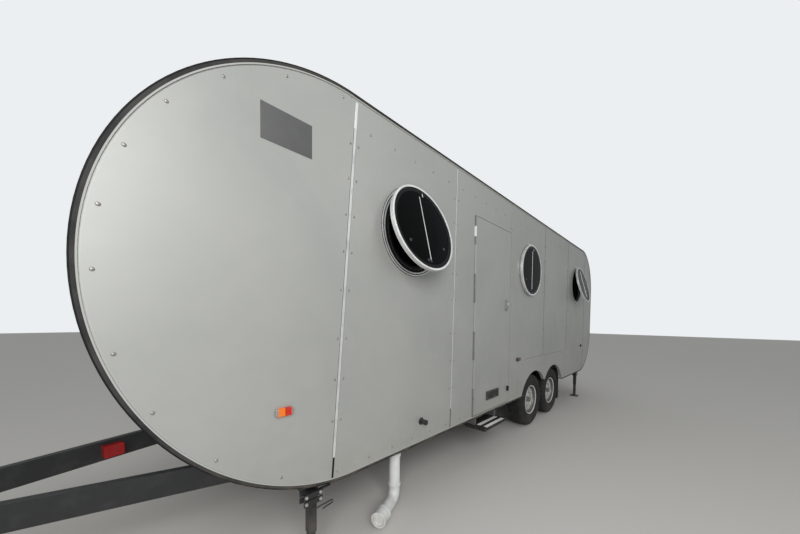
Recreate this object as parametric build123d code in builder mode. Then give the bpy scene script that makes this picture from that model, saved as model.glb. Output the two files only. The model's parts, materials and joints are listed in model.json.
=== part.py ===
from build123d import *
import math
import os

os.makedirs("parts", exist_ok=True)

# Frame: +X towards the coupling, +Y towards the door side, +Z up, Z = 0 on the ground. Millimetres.

# Body outline: a side view with a round nose and a rear end with two large corners.
BODY_LENGTH = 7930.0
BODY_WIDTH = 2400.0
NOSE_RADIUS = 1250.0
REAR_CORNER_RADIUS = 815.0
BODY_BOTTOM = 525.0
WALL_THICKNESS = 40.0
SHELL_THICKNESS = 42.0
FLOOR_THICKNESS = 38.0
FLOOR_ABOVE_BOTTOM = 81.0
DRAWBAR_REACH = 1400.0

# Edge trim: an angle that wraps the corner between side and shell.
TRIM_PROUD = 12.0
TRIM_LIP_WIDTH = 26.0
TRIM_LIP_THICKNESS = 6.0
TRIM_BAND_WIDTH = 60.0

# Side sheets, counted from the visible edge of the nose.
SHEET_WIDTH = 1220.0
SHEET_GAP = 3.0
SEAM_COUNT = 6

# Door in the third sheet, hinged at its front edge.
DOOR_WIDTH = 862.0
DOOR_HEAD_DROP = 372.0
DOOR_GAP = 5.0
HINGE_KNUCKLE_RADIUS = 6.0
HINGE_PIN_RADIUS = 2.5
HINGE_LEAF_WIDTH = 22.0
HINGE_LEAF_THICKNESS = 2.0
HINGE_SEGMENTS = 7
PIN_CLEARANCE = 0.3
VENT_LENGTH = 300.0
VENT_HEIGHT = 100.0
VENT_CENTRE_RISE = 187.0
VENT_FROM_REAR_EDGE = 430.0
VENT_DEPTH = 16.0
VENT_BORDER = 14.0
VENT_SLATS = 6
VENT_SLAT_MARGIN = 2.0
LOCK_RISE = 1231.0
LOCK_FROM_REAR_EDGE = 115.0
CATCH_RISE = 190.0
CATCH_FROM_REAR_EDGE = 40.0
LOCK_WIDTH = 66.0
LOCK_TALL = 128.0
LOCK_CORNER = 12.0
LOCK_PLATE_DEPTH = 14.0
LOCK_HANDLE_DEPTH = 12.0
CATCH_DEPTH = 18.0
CATCH_TALL = 60.0
CATCH_CORNER = 6.0

# Portholes: a fixed ring in the wall and a top-hung sash outside it.
PORTHOLE_SHEET_NUMBERS = (2, 4, 6)
PORTHOLE_ABOVE_MIDDLE = 490.0
PORTHOLE_RING_RADIUS = 345.0
PORTHOLE_HOLE_RADIUS = 300.0
PORTHOLE_SLEEVE_WALL = 12.0
PORTHOLE_FLANGE_THICKNESS = 7.0
SASH_OPEN_ANGLES = (14.0, 0.0, 14.0)
SASH_GAP = 5.0
SASH_RIM_DEPTH = 30.0
SASH_RIM_WIDTH = 14.0
SASH_GLASS_THICKNESS = 6.0
SASH_GLASS_SETBACK = 7.0
SASH_PIN_RADIUS = 3.0
SASH_BARREL_RADIUS = 7.0
SASH_BARREL_LENGTH = 60.0
SASH_EAR_THICKNESS = 12.0
SASH_HINGE_RISE = 11.0
SASH_BARREL_STANDOFF = 1.0

# Wheels, two axles close together.
WHEEL_RADIUS = 379.0
TYRE_WIDTH = 235.0
TYRE_FACE_INSET = 30.0
BEAD_SHOULDER = 30.0
SIDEWALL_BULGE_DEPTH = 85.0
SHOULDER_BEVELS = (5.0, 24.0, 52.0)
SHOULDER_DROPS = (38.0, 9.0)
RIM_RADIUS = 215.0
RIM_BEAD_RADIUS = 203.0
RIM_WIDTH = 178.0
RIM_SHEET = 7.0
RIM_DISC_THICKNESS = 9.0
RIM_HOLE_RADIUS = 19.0
RIM_HOLE_CIRCLE_RADIUS = 142.0
RIM_HOLES = 12
RIM_LIP = 9.0
RIM_WELL_DEPTH = 20.0
RIM_WELL_SLOPE = 22.0
DISC_OFFSET = 42.0
DISC_CROWN = 20.0
DISC_FLAT_RADIUS = 96.0
DISC_CROWN_RADII = (118.0, 164.0)
DISC_EDGE_RADIUS = 186.0
WHEEL_NUTS = 6
NUT_CIRCLE_RADIUS = 69.85
AXLE_SPACING = 850.0
FRONT_AXLE_FROM_EDGE = 4565.0
ARCH_RADIUS = 530.0
ARCH_PEAK_RISE = 298.0
ARCH_WEB_FILLET = 40.0
ARCH_PANEL_RISE = 503.0
ARCH_PANEL_RADIUS = 300.0
ARCH_PANEL_AHEAD = 629.0
AXLE_BEAM = 50.0
STUB_RADIUS = 19.0
STUB_CLEARANCE = 0.3
DRUM_RADIUS = 150.0
DRUM_DEPTH = 62.0
DRUM_WALL = 10.0
BACKPLATE_THICKNESS = 6.0
HUB_RADIUS = 41.0
HUB_NECK_RADIUS = 33.0
HUB_CAP_REACH = 50.0
HUB_CAP_BEVEL = 5.0
STUB_REACH = 30.0
NUT_RADIUS = 11.0
NUT_HEIGHT = 16.0

# Chassis of rectangular tube.
RAIL_HEIGHT = 150.0
RAIL_WIDTH = 50.0
RAIL_INSET = 400.0
RAIL_END_BEHIND_ARC = 113.0
RAIL_REAR_OVERHANG = 250.0
CROSS_HEIGHT = 100.0
CROSS_WIDTH = 50.0
CROSS_CLEAR = 60.0
NOSE_CROSS_FROM_ARC = 440.0
OUTRIGGER_INSET = 75.0
DRAWBAR_TIP_HALF_WIDTH = 73.6
DRAWBAR_END_SETBACK = 210.0
DRAWBAR_PLATE_LENGTH = 200.0

# Leaf springs and their hangers.
LEAF_WIDTH = 45.0
LEAF_THICKNESS = 8.0
LEAF_COUNT = 4
SPRING_SPAN = 660.0
SPRING_SAG = 8.0
SPRING_EYE_RADIUS = 11.0
HANGER_PLATE = 8.0
HANGER_LENGTH = 60.0
U_BOLT_SIZE = 12.0
U_BOLT_PLATE = 10.0

# Wheel boxes inside the cabin.
WHEEL_BOX_DEPTH = 260.0
WHEEL_BOX_RISE = 325.0
WHEEL_BOX_PLATE = 20.0
WHEEL_BOX_REACH = 430.0
FLAP_THICKNESS = 6.0
FLAP_BOTTOM = 160.0
FLAP_LAP = 94.0
FLAP_NARROWING = 15.0

# Corner steadies: a fixed sleeve and a sliding leg with a foot.
STEADY_FRONT_FROM_ARC = 280.0
STEADY_FROM_REAR = 925.0
STEADY_SLEEVE = 50.0
STEADY_SLEEVE_WALL = 4.0
STEADY_LEG_GAP = 0.4
STEADY_TOP_BELOW_BODY = 25.0
STEADY_SLEEVE_LENGTH = 260.0
STEADY_OVERLAP = 60.0
STEADY_TRAVEL = 180.0
FOOT_SIZE = 140.0
FOOT_THICKNESS = 12.0
CRANK_RADIUS = 8.0
CRANK_LENGTH = 110.0

# Jockey wheel on the drawbar.
JOCKEY_BEHIND_TIP = 430.0
JOCKEY_TUBE_RADIUS = 30.0
JOCKEY_TUBE_WALL = 4.0
JOCKEY_TUBE_BOTTOM = 400.0
JOCKEY_TUBE_TOP = 780.0
JOCKEY_LEG_WALL = 4.0
JOCKEY_TRAVEL = 160.0
JOCKEY_WHEEL_RADIUS = 100.0
JOCKEY_WHEEL_WIDTH = 60.0
JOCKEY_TRAIL = 45.0
JOCKEY_AXLE_RADIUS = 8.0
JOCKEY_FORK_PLATE = 6.0
JOCKEY_SIDE_GAP = 5.0
JOCKEY_SWIVEL_GAP = 0.5

# Coupling for a 50 mm ball.
BALL_SOCKET_RADIUS = 25.4
COUPLING_SOCKET_BEHIND_TIP = 55.0
COUPLING_LENGTH = 330.0
COUPLING_HEIGHT = 70.0
SHACKLE_HOLE_RADIUS = 6.5
SHACKLE_LUG_THICKNESS = 10.0

# Pull-out entry step.
STEP_CENTRE_FROM_ARC = 1985.0
STEP_LENGTH = 540.0
STEP_TREAD_TOP = 386.0
STEP_TREAD_THICKNESS = 32.0
STEP_TREAD_DEPTH = 240.0
STEP_PROUD = 62.0
STEP_TRAVEL = 230.0
STEP_RUNNER_HEIGHT = 40.0
STEP_RUNNER_WIDTH = 30.0
STEP_RUNNER_GAP = 5.0
STEP_RUNNER_LENGTH = 480.0
STEP_SLIDE_GAP = 0.3

# Waste pipe.
PIPE_RADIUS = 45.0
PIPE_WALL = 3.0
PIPE_FROM_ARC = 520.0
PIPE_INSET = 118.0
PIPE_BEND_RADIUS = 75.0
PIPE_RUN_HEIGHT = 85.0
PIPE_RUN_LENGTH = 250.0
PIPE_SOCKET_RADIUS = 56.0
PIPE_SOCKET_LENGTH = 95.0
PIPE_SOCKET_DEPTH = 60.0
PIPE_OUTWARD_ANGLE = 24.0

# Small fittings.
INLET_FROM_ARC = 716.0
INLET_RISE = 179.0
INLET_RADIUS = 22.0
INLET_REACH = 60.0
MARKER_FRONT_FROM_ARC = 475.0
MARKER_MIDDLE_FROM_ARC = 2700.0
MARKER_REAR_FROM_CORNER = 60.0
MARKER_RISE = 525.0
MARKER_LENGTH = 100.0
MARKER_DEPTH = 22.0
MARKER_TALL = 46.0
BUMPER_HEIGHT = 100.0
BUMPER_DEPTH = 60.0
BUMPER_END_INSET = 150.0
BUMPER_DROP = 5.0
BUMPER_INSET = 230.0
TAIL_LAMP_LENGTH = 380.0
TAIL_LAMP_HEIGHT = 90.0
TAIL_LAMP_DEPTH = 34.0
TAIL_LAMP_INSET = 380.0
DRAWBAR_LAMP_LENGTH = 120.0
DRAWBAR_LAMP_HEIGHT = 90.0
DRAWBAR_LAMP_DEPTH = 60.0
DRAWBAR_LAMP_FROM_ARC = 1150.0

# Places worked out from the sizes above.
TOTAL_LENGTH = TRIM_PROUD + BODY_LENGTH + DRAWBAR_REACH
TIP_X = TOTAL_LENGTH / 2
ARC_X = TIP_X - DRAWBAR_REACH - NOSE_RADIUS
REAR_X = ARC_X + NOSE_RADIUS - BODY_LENGTH
REAR_ARC_X = REAR_X + REAR_CORNER_RADIUS
HALF_WIDTH = BODY_WIDTH / 2
INNER_FACE = HALF_WIDTH - WALL_THICKNESS
MID_HEIGHT = BODY_BOTTOM + NOSE_RADIUS
FLOOR_UNDERSIDE = BODY_BOTTOM + FLOOR_ABOVE_BOTTOM
TRIM_LIP_INSET = TRIM_LIP_WIDTH - TRIM_PROUD
NOSE_EDGE_X = ARC_X + NOSE_RADIUS - TRIM_LIP_INSET
FLOOR_TOP = FLOOR_UNDERSIDE + FLOOR_THICKNESS
REAR_LOW_Z = BODY_BOTTOM + REAR_CORNER_RADIUS
REAR_HIGH_Z = MID_HEIGHT + NOSE_RADIUS - REAR_CORNER_RADIUS


def sheet_x(count):
    """X of a place that lies a number of sheet widths behind the edge of the nose."""
    return NOSE_EDGE_X - count * SHEET_WIDTH


FRONT_AXLE_X = NOSE_EDGE_X - FRONT_AXLE_FROM_EDGE
REAR_AXLE_X = FRONT_AXLE_X - AXLE_SPACING
AXLE_MID_X = (FRONT_AXLE_X + REAR_AXLE_X) / 2
AXLE_PLACES = (FRONT_AXLE_X, REAR_AXLE_X)
TYRE_CENTRE = HALF_WIDTH - TYRE_FACE_INSET - TYRE_WIDTH / 2
ARCH_CENTRE_Z = BODY_BOTTOM + ARCH_PEAK_RISE - ARCH_RADIUS
RAIL_OFFSET = HALF_WIDTH - RAIL_INSET
OUTRIGGER_REACH = HALF_WIDTH - OUTRIGGER_INSET
WHEEL_BOX_INNER = INNER_FACE - WHEEL_BOX_DEPTH
DOOR_REAR_X = sheet_x(3)
DOOR_TOP = MID_HEIGHT + NOSE_RADIUS - DOOR_HEAD_DROP
DOOR_FRONT_X = DOOR_REAR_X + DOOR_WIDTH
DOOR_BOTTOM = BODY_BOTTOM + TRIM_LIP_INSET + DOOR_GAP
PORTHOLE_HEIGHT = MID_HEIGHT + PORTHOLE_ABOVE_MIDDLE
PORTHOLE_PLACES = [sheet_x(number - 0.5) for number in PORTHOLE_SHEET_NUMBERS]
SASH_HINGE_Z = PORTHOLE_HEIGHT + PORTHOLE_RING_RADIUS + SASH_HINGE_RISE
SASH_HINGE_Y = HALF_WIDTH + PORTHOLE_FLANGE_THICKNESS + SASH_BARREL_RADIUS + SASH_BARREL_STANDOFF
STEADY_PLACES = (ARC_X + STEADY_FRONT_FROM_ARC, REAR_X + STEADY_FROM_REAR)
STEADY_OFFSET = OUTRIGGER_REACH + STEADY_SLEEVE / 2


def side_plane(y):
    """Drawing plane parallel to the side walls: local x is X, local y is Z, extrusion runs to -Y."""
    return Plane(origin=(0, y, 0), x_dir=(1, 0, 0), z_dir=(0, -1, 0))


def cross_plane(x):
    """Drawing plane across the vehicle: local x is Y, local y is Z, extrusion runs to +X."""
    return Plane(origin=(x, 0, 0), x_dir=(0, 1, 0), z_dir=(1, 0, 0))


def body_outline(inset):
    """Side outline of the body, drawn in by a distance."""
    nose = NOSE_RADIUS - inset
    corner = REAR_CORNER_RADIUS - inset
    with BuildSketch(mode=Mode.PRIVATE) as outline:
        with BuildLine():
            Line((ARC_X, MID_HEIGHT + nose), (REAR_ARC_X, MID_HEIGHT + nose))
            high = CenterArc((REAR_ARC_X, REAR_HIGH_Z), corner, 90, 90)
            low = CenterArc((REAR_ARC_X, REAR_LOW_Z), corner, 180, 90)
            Line(high @ 1, low @ 0)
            Line(low @ 1, (ARC_X, MID_HEIGHT - nose))
            CenterArc((ARC_X, MID_HEIGHT), nose, -90, 180)
        make_face()
    return outline.sketch


def write(part, name):
    """Label a finished piece and write its file."""
    part.label = name
    export_step(part, f"parts/{name}.step")


def arch_panel_outline(grow):
    """Outline of the separate panel round the wheel arches."""
    length = 2 * ARCH_PANEL_AHEAD + AXLE_SPACING + 2 * grow
    radius = ARCH_PANEL_RADIUS + grow
    with BuildSketch(mode=Mode.PRIVATE) as outline:
        with Locations((AXLE_MID_X, BODY_BOTTOM + ARCH_PANEL_RISE - ARCH_PANEL_RADIUS)):
            SlotOverall(length, 2 * radius)
    return outline.sketch


# Side walls: sheets with narrow gaps, door and porthole holes, and scalloped wheel arches.
def side_wall(has_door):
    """The sheets of one side wall, drawn for the door side."""
    with BuildPart() as wall:
        with BuildSketch(side_plane(HALF_WIDTH)) as sheets:
            add(body_outline(0))
            for seam in range(1, SEAM_COUNT + 1):
                with Locations((sheet_x(seam), MID_HEIGHT)):
                    Rectangle(SHEET_GAP, 3 * NOSE_RADIUS, mode=Mode.SUBTRACT)
            add(arch_panel_outline(SHEET_GAP), mode=Mode.SUBTRACT)
            for x in PORTHOLE_PLACES:
                with Locations((x, PORTHOLE_HEIGHT)):
                    Circle(PORTHOLE_HOLE_RADIUS, mode=Mode.SUBTRACT)
            if has_door:
                door_low = BODY_BOTTOM - TRIM_PROUD
                door_tall = DOOR_TOP + DOOR_GAP - door_low
                with Locations((DOOR_FRONT_X + DOOR_GAP, door_low)):
                    Rectangle(DOOR_WIDTH + DOOR_GAP, door_tall, align=(Align.MAX, Align.MIN), mode=Mode.SUBTRACT)
        extrude(amount=WALL_THICKNESS)
        with BuildSketch(side_plane(HALF_WIDTH)) as arch_panel:
            add(arch_panel_outline(0))
            add(body_outline(0), mode=Mode.INTERSECT)
            for x in AXLE_PLACES:
                with Locations((x, ARCH_CENTRE_Z)):
                    Circle(ARCH_RADIUS, mode=Mode.SUBTRACT)
            web = arch_panel.vertices().sort_by_distance((AXLE_MID_X, BODY_BOTTOM))[0]
            fillet(web, radius=ARCH_WEB_FILLET)
        extrude(amount=WALL_THICKNESS)
    return wall.part


left_wall = side_wall(has_door=True)
right_wall = mirror(side_wall(has_door=False), about=Plane.XZ)
write(left_wall, "side_wall_left")
write(right_wall, "side_wall_right")


# Shell between the walls: nose, roof and rear, and the floor.
def shell_part(name, x_low, x_high):
    """The stretch of the wrap-round shell between two places along X, down to the floor's underside."""
    with BuildPart() as shell:
        with BuildSketch(side_plane(INNER_FACE)):
            add(body_outline(0))
            add(body_outline(SHELL_THICKNESS), mode=Mode.SUBTRACT)
            with Locations(((x_low + x_high) / 2, FLOOR_UNDERSIDE)):
                Rectangle(x_high - x_low, 3 * NOSE_RADIUS, align=(Align.CENTER, Align.MIN), mode=Mode.INTERSECT)
        extrude(amount=2 * INNER_FACE)
    write(shell.part, name)
    return shell.part


shell_part("nose_shell", ARC_X, TIP_X)
shell_part("roof", REAR_ARC_X, ARC_X)
shell_part("rear_shell", REAR_X - TRIM_PROUD, REAR_ARC_X)

with BuildPart() as floor:
    with BuildSketch(side_plane(INNER_FACE)):
        add(body_outline(SHELL_THICKNESS))
        with Locations((0, FLOOR_UNDERSIDE)):
            Rectangle(2 * TOTAL_LENGTH, FLOOR_THICKNESS, align=(Align.CENTER, Align.MIN), mode=Mode.INTERSECT)
    extrude(amount=2 * INNER_FACE)
    wheel_length = AXLE_SPACING + 2 * (WHEEL_BOX_REACH + WHEEL_BOX_PLATE)
    with BuildSketch(Plane.XY.offset(FLOOR_UNDERSIDE)):
        for side in (1, -1):
            with Locations((AXLE_MID_X, side * (INNER_FACE + WHEEL_BOX_INNER - WHEEL_BOX_PLATE) / 2)):
                Rectangle(wheel_length, INNER_FACE - WHEEL_BOX_INNER + WHEEL_BOX_PLATE)
        with Locations(((DOOR_FRONT_X + DOOR_REAR_X) / 2, INNER_FACE)):
            Rectangle(DOOR_WIDTH + 2 * DOOR_GAP, 2 * DOOR_GAP)
    extrude(amount=FLOOR_THICKNESS, mode=Mode.SUBTRACT)
write(floor.part, "floor")

# Wheel boxes: tubs over the wheels that close the cabin.
with BuildPart() as wheel_boxes:
    box_length = AXLE_SPACING + 2 * (WHEEL_BOX_REACH + WHEEL_BOX_PLATE)
    box_height = BODY_BOTTOM + WHEEL_BOX_RISE + WHEEL_BOX_PLATE - FLOOR_UNDERSIDE
    for side in (1, -1):
        inner = WHEEL_BOX_INNER - WHEEL_BOX_PLATE
        with BuildSketch(Plane.XY.offset(FLOOR_UNDERSIDE)):
            with Locations((AXLE_MID_X, side * (inner + INNER_FACE) / 2)):
                Rectangle(box_length, INNER_FACE - inner)
        extrude(amount=box_height)
        with BuildSketch(Plane.XY.offset(FLOOR_UNDERSIDE)):
            with Locations((AXLE_MID_X, side * (WHEEL_BOX_INNER + INNER_FACE) / 2)):
                Rectangle(box_length - 2 * WHEEL_BOX_PLATE, INNER_FACE - WHEEL_BOX_INNER)
        extrude(amount=box_height - WHEEL_BOX_PLATE, mode=Mode.SUBTRACT)
write(wheel_boxes.part, "wheel_boxes")

# Mudflaps behind the rear wheels.
with BuildPart() as mudflaps:
    flap_x = REAR_AXLE_X - WHEEL_BOX_REACH
    flap_wide = TYRE_WIDTH - FLAP_NARROWING
    for side in (1, -1):
        with BuildSketch(cross_plane(flap_x)):
            with Locations((side * (INNER_FACE - flap_wide / 2), FLAP_BOTTOM)):
                flap_tall = FLOOR_UNDERSIDE + FLAP_LAP - FLAP_BOTTOM
                Rectangle(flap_wide, flap_tall, align=(Align.CENTER, Align.MIN))
        extrude(amount=FLAP_THICKNESS)
    fillet(mudflaps.edges().filter_by(Axis.X).group_by(Axis.Z)[0], radius=25)
write(mudflaps.part, "mudflaps")

# Edge trims: one angle section along each side's outline, cut away at the door gap and wheel arches.
with BuildPart() as edge_trims:
    with BuildSketch(side_plane(HALF_WIDTH + TRIM_LIP_THICKNESS)):
        add(body_outline(-TRIM_PROUD))
        add(body_outline(0), mode=Mode.SUBTRACT)
    extrude(amount=TRIM_BAND_WIDTH + TRIM_LIP_THICKNESS)
    with BuildSketch(side_plane(HALF_WIDTH + TRIM_LIP_THICKNESS)):
        add(body_outline(-TRIM_PROUD))
        add(body_outline(TRIM_LIP_INSET), mode=Mode.SUBTRACT)
    extrude(amount=TRIM_LIP_THICKNESS)
    with BuildSketch(side_plane(HALF_WIDTH + 2 * TRIM_LIP_THICKNESS)):
        for x in AXLE_PLACES:
            with Locations((x, ARCH_CENTRE_Z)):
                Circle(ARCH_RADIUS)
        with Locations((AXLE_MID_X, BODY_BOTTOM)):
            Rectangle(AXLE_SPACING, 4 * TRIM_LIP_WIDTH)
    extrude(amount=TRIM_BAND_WIDTH + 3 * TRIM_LIP_THICKNESS, mode=Mode.SUBTRACT)
    mirror(about=Plane.XZ)
write(edge_trims.part, "edge_trims")


# Portholes: fixed ring with hinge ears, and a sash of rim, glass and handle.
def porthole_ring(x):
    """Fixed ring in the door side's wall, with its sleeve, hinge ears and pin."""
    with BuildPart() as ring:
        with BuildSketch(side_plane(HALF_WIDTH + PORTHOLE_FLANGE_THICKNESS)):
            with Locations((x, PORTHOLE_HEIGHT)):
                Circle(PORTHOLE_RING_RADIUS)
                Circle(PORTHOLE_HOLE_RADIUS - PORTHOLE_SLEEVE_WALL, mode=Mode.SUBTRACT)
        extrude(amount=PORTHOLE_FLANGE_THICKNESS)
        with BuildSketch(side_plane(HALF_WIDTH)):
            with Locations((x, PORTHOLE_HEIGHT)):
                Circle(PORTHOLE_HOLE_RADIUS - PIN_CLEARANCE)
                Circle(PORTHOLE_HOLE_RADIUS - PORTHOLE_SLEEVE_WALL, mode=Mode.SUBTRACT)
        extrude(amount=WALL_THICKNESS)
        ear_x = SASH_BARREL_LENGTH / 2 + PIN_CLEARANCE
        for side in (1, -1):
            face = x + side * ear_x
            with BuildSketch(cross_plane(face)):
                with Locations((SASH_HINGE_Y, SASH_HINGE_Z)):
                    Circle(SASH_BARREL_RADIUS)
                with Locations((HALF_WIDTH, SASH_HINGE_Z)):
                    Rectangle(
                        SASH_HINGE_Y - HALF_WIDTH,
                        2 * SASH_BARREL_RADIUS,
                        align=(Align.MIN, Align.CENTER),
                    )
            extrude(amount=side * SASH_EAR_THICKNESS)
        with BuildSketch(cross_plane(x - ear_x)):
            with Locations((SASH_HINGE_Y, SASH_HINGE_Z)):
                Circle(SASH_PIN_RADIUS)
        extrude(amount=2 * ear_x)
        with BuildSketch(side_plane(HALF_WIDTH + PORTHOLE_FLANGE_THICKNESS)):
            with Locations((x, SASH_HINGE_Z)):
                Rectangle(2 * (ear_x + SASH_EAR_THICKNESS), 2 * SASH_BARREL_RADIUS)
            with Locations((x, PORTHOLE_HEIGHT + PORTHOLE_RING_RADIUS)):
                Rectangle(2 * (ear_x + SASH_EAR_THICKNESS), 2 * SASH_HINGE_RISE)
        extrude(amount=PORTHOLE_FLANGE_THICKNESS)
    return ring.part


def sash_plane(x, angle, depth):
    """Plane of a sash turned about its hinge: local y runs down the sash, extrusion runs outwards."""
    turn = math.radians(angle)
    normal = Vector(0, math.cos(turn), math.sin(turn))
    hinge = Vector(x, SASH_HINGE_Y, SASH_HINGE_Z)
    return Plane(origin=hinge + normal * depth, x_dir=(1, 0, 0), z_dir=normal)


SASH_BACK = HALF_WIDTH + PORTHOLE_FLANGE_THICKNESS + SASH_GAP - SASH_HINGE_Y
SASH_DROP = SASH_HINGE_Z - PORTHOLE_HEIGHT


def sash_rim(x, angle):
    """Rim of one sash with its hinge barrel and its inside handle."""
    glass_low = SASH_RIM_DEPTH - SASH_GLASS_SETBACK - SASH_GLASS_THICKNESS
    with BuildPart() as rim:
        with BuildSketch(sash_plane(x, angle, SASH_BACK)):
            with Locations((0, SASH_DROP)):
                Circle(PORTHOLE_RING_RADIUS)
                Circle(PORTHOLE_RING_RADIUS - SASH_RIM_WIDTH, mode=Mode.SUBTRACT)
        extrude(amount=SASH_RIM_DEPTH)
        with BuildSketch(sash_plane(x, angle, SASH_BACK)):
            with Locations((0, SASH_DROP)):
                Circle(PORTHOLE_RING_RADIUS - SASH_RIM_WIDTH / 2)
                Circle(PORTHOLE_RING_RADIUS - 2 * SASH_RIM_WIDTH, mode=Mode.SUBTRACT)
        extrude(amount=glass_low)
        with BuildSketch(sash_plane(x, angle, SASH_BACK)):
            with Locations((0, SASH_HINGE_RISE / 2 + SASH_BARREL_RADIUS)):
                Rectangle(SASH_BARREL_LENGTH, SASH_HINGE_RISE + SASH_RIM_WIDTH)
        extrude(amount=SASH_BARREL_RADIUS)
        with BuildSketch(Plane(origin=(x - SASH_BARREL_LENGTH / 2, 0, 0), x_dir=(0, 1, 0), z_dir=(1, 0, 0))):
            with Locations((SASH_HINGE_Y, SASH_HINGE_Z)):
                Circle(SASH_BARREL_RADIUS)
        extrude(amount=SASH_BARREL_LENGTH)
        with BuildSketch(Plane(origin=(x - SASH_BARREL_LENGTH / 2, 0, 0), x_dir=(0, 1, 0), z_dir=(1, 0, 0))):
            with Locations((SASH_HINGE_Y, SASH_HINGE_Z)):
                Circle(SASH_PIN_RADIUS + PIN_CLEARANCE)
        extrude(amount=SASH_BARREL_LENGTH, mode=Mode.SUBTRACT)
    return rim.part


def sash_glass(x, angle):
    """Glass disc that lies on the rim's inner step."""
    glass_low = SASH_RIM_DEPTH - SASH_GLASS_SETBACK - SASH_GLASS_THICKNESS
    with BuildPart() as glass:
        with BuildSketch(sash_plane(x, angle, SASH_BACK + glass_low)):
            with Locations((0, SASH_DROP)):
                Circle(PORTHOLE_RING_RADIUS - SASH_RIM_WIDTH - PIN_CLEARANCE)
        extrude(amount=SASH_GLASS_THICKNESS)
    return glass.part


ring_solids = []
for number, (x, angle) in enumerate(zip(PORTHOLE_PLACES, SASH_OPEN_ANGLES), start=1):
    ring_solids.append(porthole_ring(x))
    rim_left = sash_rim(x, angle)
    glass_left = sash_glass(x, angle)
    write(rim_left, f"sash_rim_left_{number}")
    write(glass_left, f"sash_glass_left_{number}")
    write(mirror(rim_left, about=Plane.XZ), f"sash_rim_right_{number}")
    write(mirror(glass_left, about=Plane.XZ), f"sash_glass_right_{number}")

with BuildPart() as porthole_rings:
    for ring_solid in ring_solids:
        add(ring_solid)
    mirror(about=Plane.XZ)
write(porthole_rings.part, "porthole_rings")

# Door hinge: knuckles on the wall and on the door by turns, round one long pin.
HINGE_X = DOOR_FRONT_X + DOOR_GAP / 2
HINGE_Y = HALF_WIDTH + HINGE_KNUCKLE_RADIUS
KNUCKLE_LENGTH = (DOOR_TOP - DOOR_BOTTOM) / HINGE_SEGMENTS


def knuckles(first, leaf_side):
    """Every second knuckle of the hinge, from the first given, with the leaf that carries it."""
    with BuildPart() as row:
        for segment in range(first, HINGE_SEGMENTS, 2):
            low = DOOR_BOTTOM + segment * KNUCKLE_LENGTH + PIN_CLEARANCE / 2
            with BuildSketch(Plane.XY.offset(low)):
                with Locations((HINGE_X, HINGE_Y)):
                    Circle(HINGE_KNUCKLE_RADIUS)
                with Locations((HINGE_X, HALF_WIDTH)):
                    Rectangle(
                        HINGE_LEAF_WIDTH,
                        HINGE_LEAF_THICKNESS,
                        align=(Align.MIN if leaf_side > 0 else Align.MAX, Align.MIN),
                    )
            extrude(amount=KNUCKLE_LENGTH - PIN_CLEARANCE)
    return row.part


wall_knuckles = knuckles(0, 1)
door_knuckles = knuckles(1, -1)

with BuildPart() as door_hinge:
    add(wall_knuckles)
    with BuildSketch(Plane.XY.offset(DOOR_BOTTOM)):
        with Locations((HINGE_X, HINGE_Y)):
            Circle(HINGE_PIN_RADIUS)
    extrude(amount=DOOR_TOP - DOOR_BOTTOM)
write(door_hinge.part, "door_hinge")

# Door leaf with its half of the hinge and the hole for the vent.
VENT_X = DOOR_REAR_X + VENT_FROM_REAR_EDGE
VENT_CENTRE_HEIGHT = BODY_BOTTOM + VENT_CENTRE_RISE
with BuildPart() as door_leaf:
    add(door_knuckles)
    with BuildSketch(Plane.XY.offset(DOOR_BOTTOM)):
        with Locations((HINGE_X, HINGE_Y)):
            Circle(HINGE_PIN_RADIUS + PIN_CLEARANCE)
    extrude(amount=DOOR_TOP - DOOR_BOTTOM, mode=Mode.SUBTRACT)
    with BuildSketch(side_plane(HALF_WIDTH)):
        with Locations((DOOR_REAR_X + DOOR_GAP, DOOR_BOTTOM)):
            Rectangle(DOOR_WIDTH - DOOR_GAP, DOOR_TOP - DOOR_BOTTOM, align=(Align.MIN, Align.MIN))
        with Locations((VENT_X, VENT_CENTRE_HEIGHT)):
            Rectangle(VENT_LENGTH - 2 * VENT_BORDER, VENT_HEIGHT - 2 * VENT_BORDER, mode=Mode.SUBTRACT)
    extrude(amount=WALL_THICKNESS)
write(door_leaf.part, "door_leaf")

# Vent grille on the door: a frame with sloping slats.
with BuildPart() as door_vent:
    with BuildSketch(side_plane(HALF_WIDTH + VENT_DEPTH / 2)):
        with Locations((VENT_X, VENT_CENTRE_HEIGHT)):
            RectangleRounded(VENT_LENGTH, VENT_HEIGHT, 6)
            Rectangle(VENT_LENGTH - 2 * VENT_BORDER, VENT_HEIGHT - 2 * VENT_BORDER, mode=Mode.SUBTRACT)
    extrude(amount=VENT_DEPTH / 2)
    slat_pitch = (VENT_HEIGHT - 2 * VENT_BORDER - 2 * VENT_SLAT_MARGIN) / VENT_SLATS
    with BuildSketch(cross_plane(VENT_X - VENT_LENGTH / 2 + VENT_BORDER)):
        for slat in range(VENT_SLATS):
            low = VENT_CENTRE_HEIGHT - VENT_HEIGHT / 2 + VENT_BORDER + VENT_SLAT_MARGIN + slat * slat_pitch
            with BuildLine():
                Polyline(
                    (HALF_WIDTH + VENT_DEPTH / 2 - 1, low),
                    (HALF_WIDTH + VENT_DEPTH / 2 - 1, low + 3),
                    (HALF_WIDTH - VENT_DEPTH, low + slat_pitch),
                    (HALF_WIDTH - VENT_DEPTH, low + slat_pitch - 3),
                    close=True,
                )
            make_face()
    extrude(amount=VENT_LENGTH - 2 * VENT_BORDER)
write(door_vent.part, "door_vent")

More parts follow.
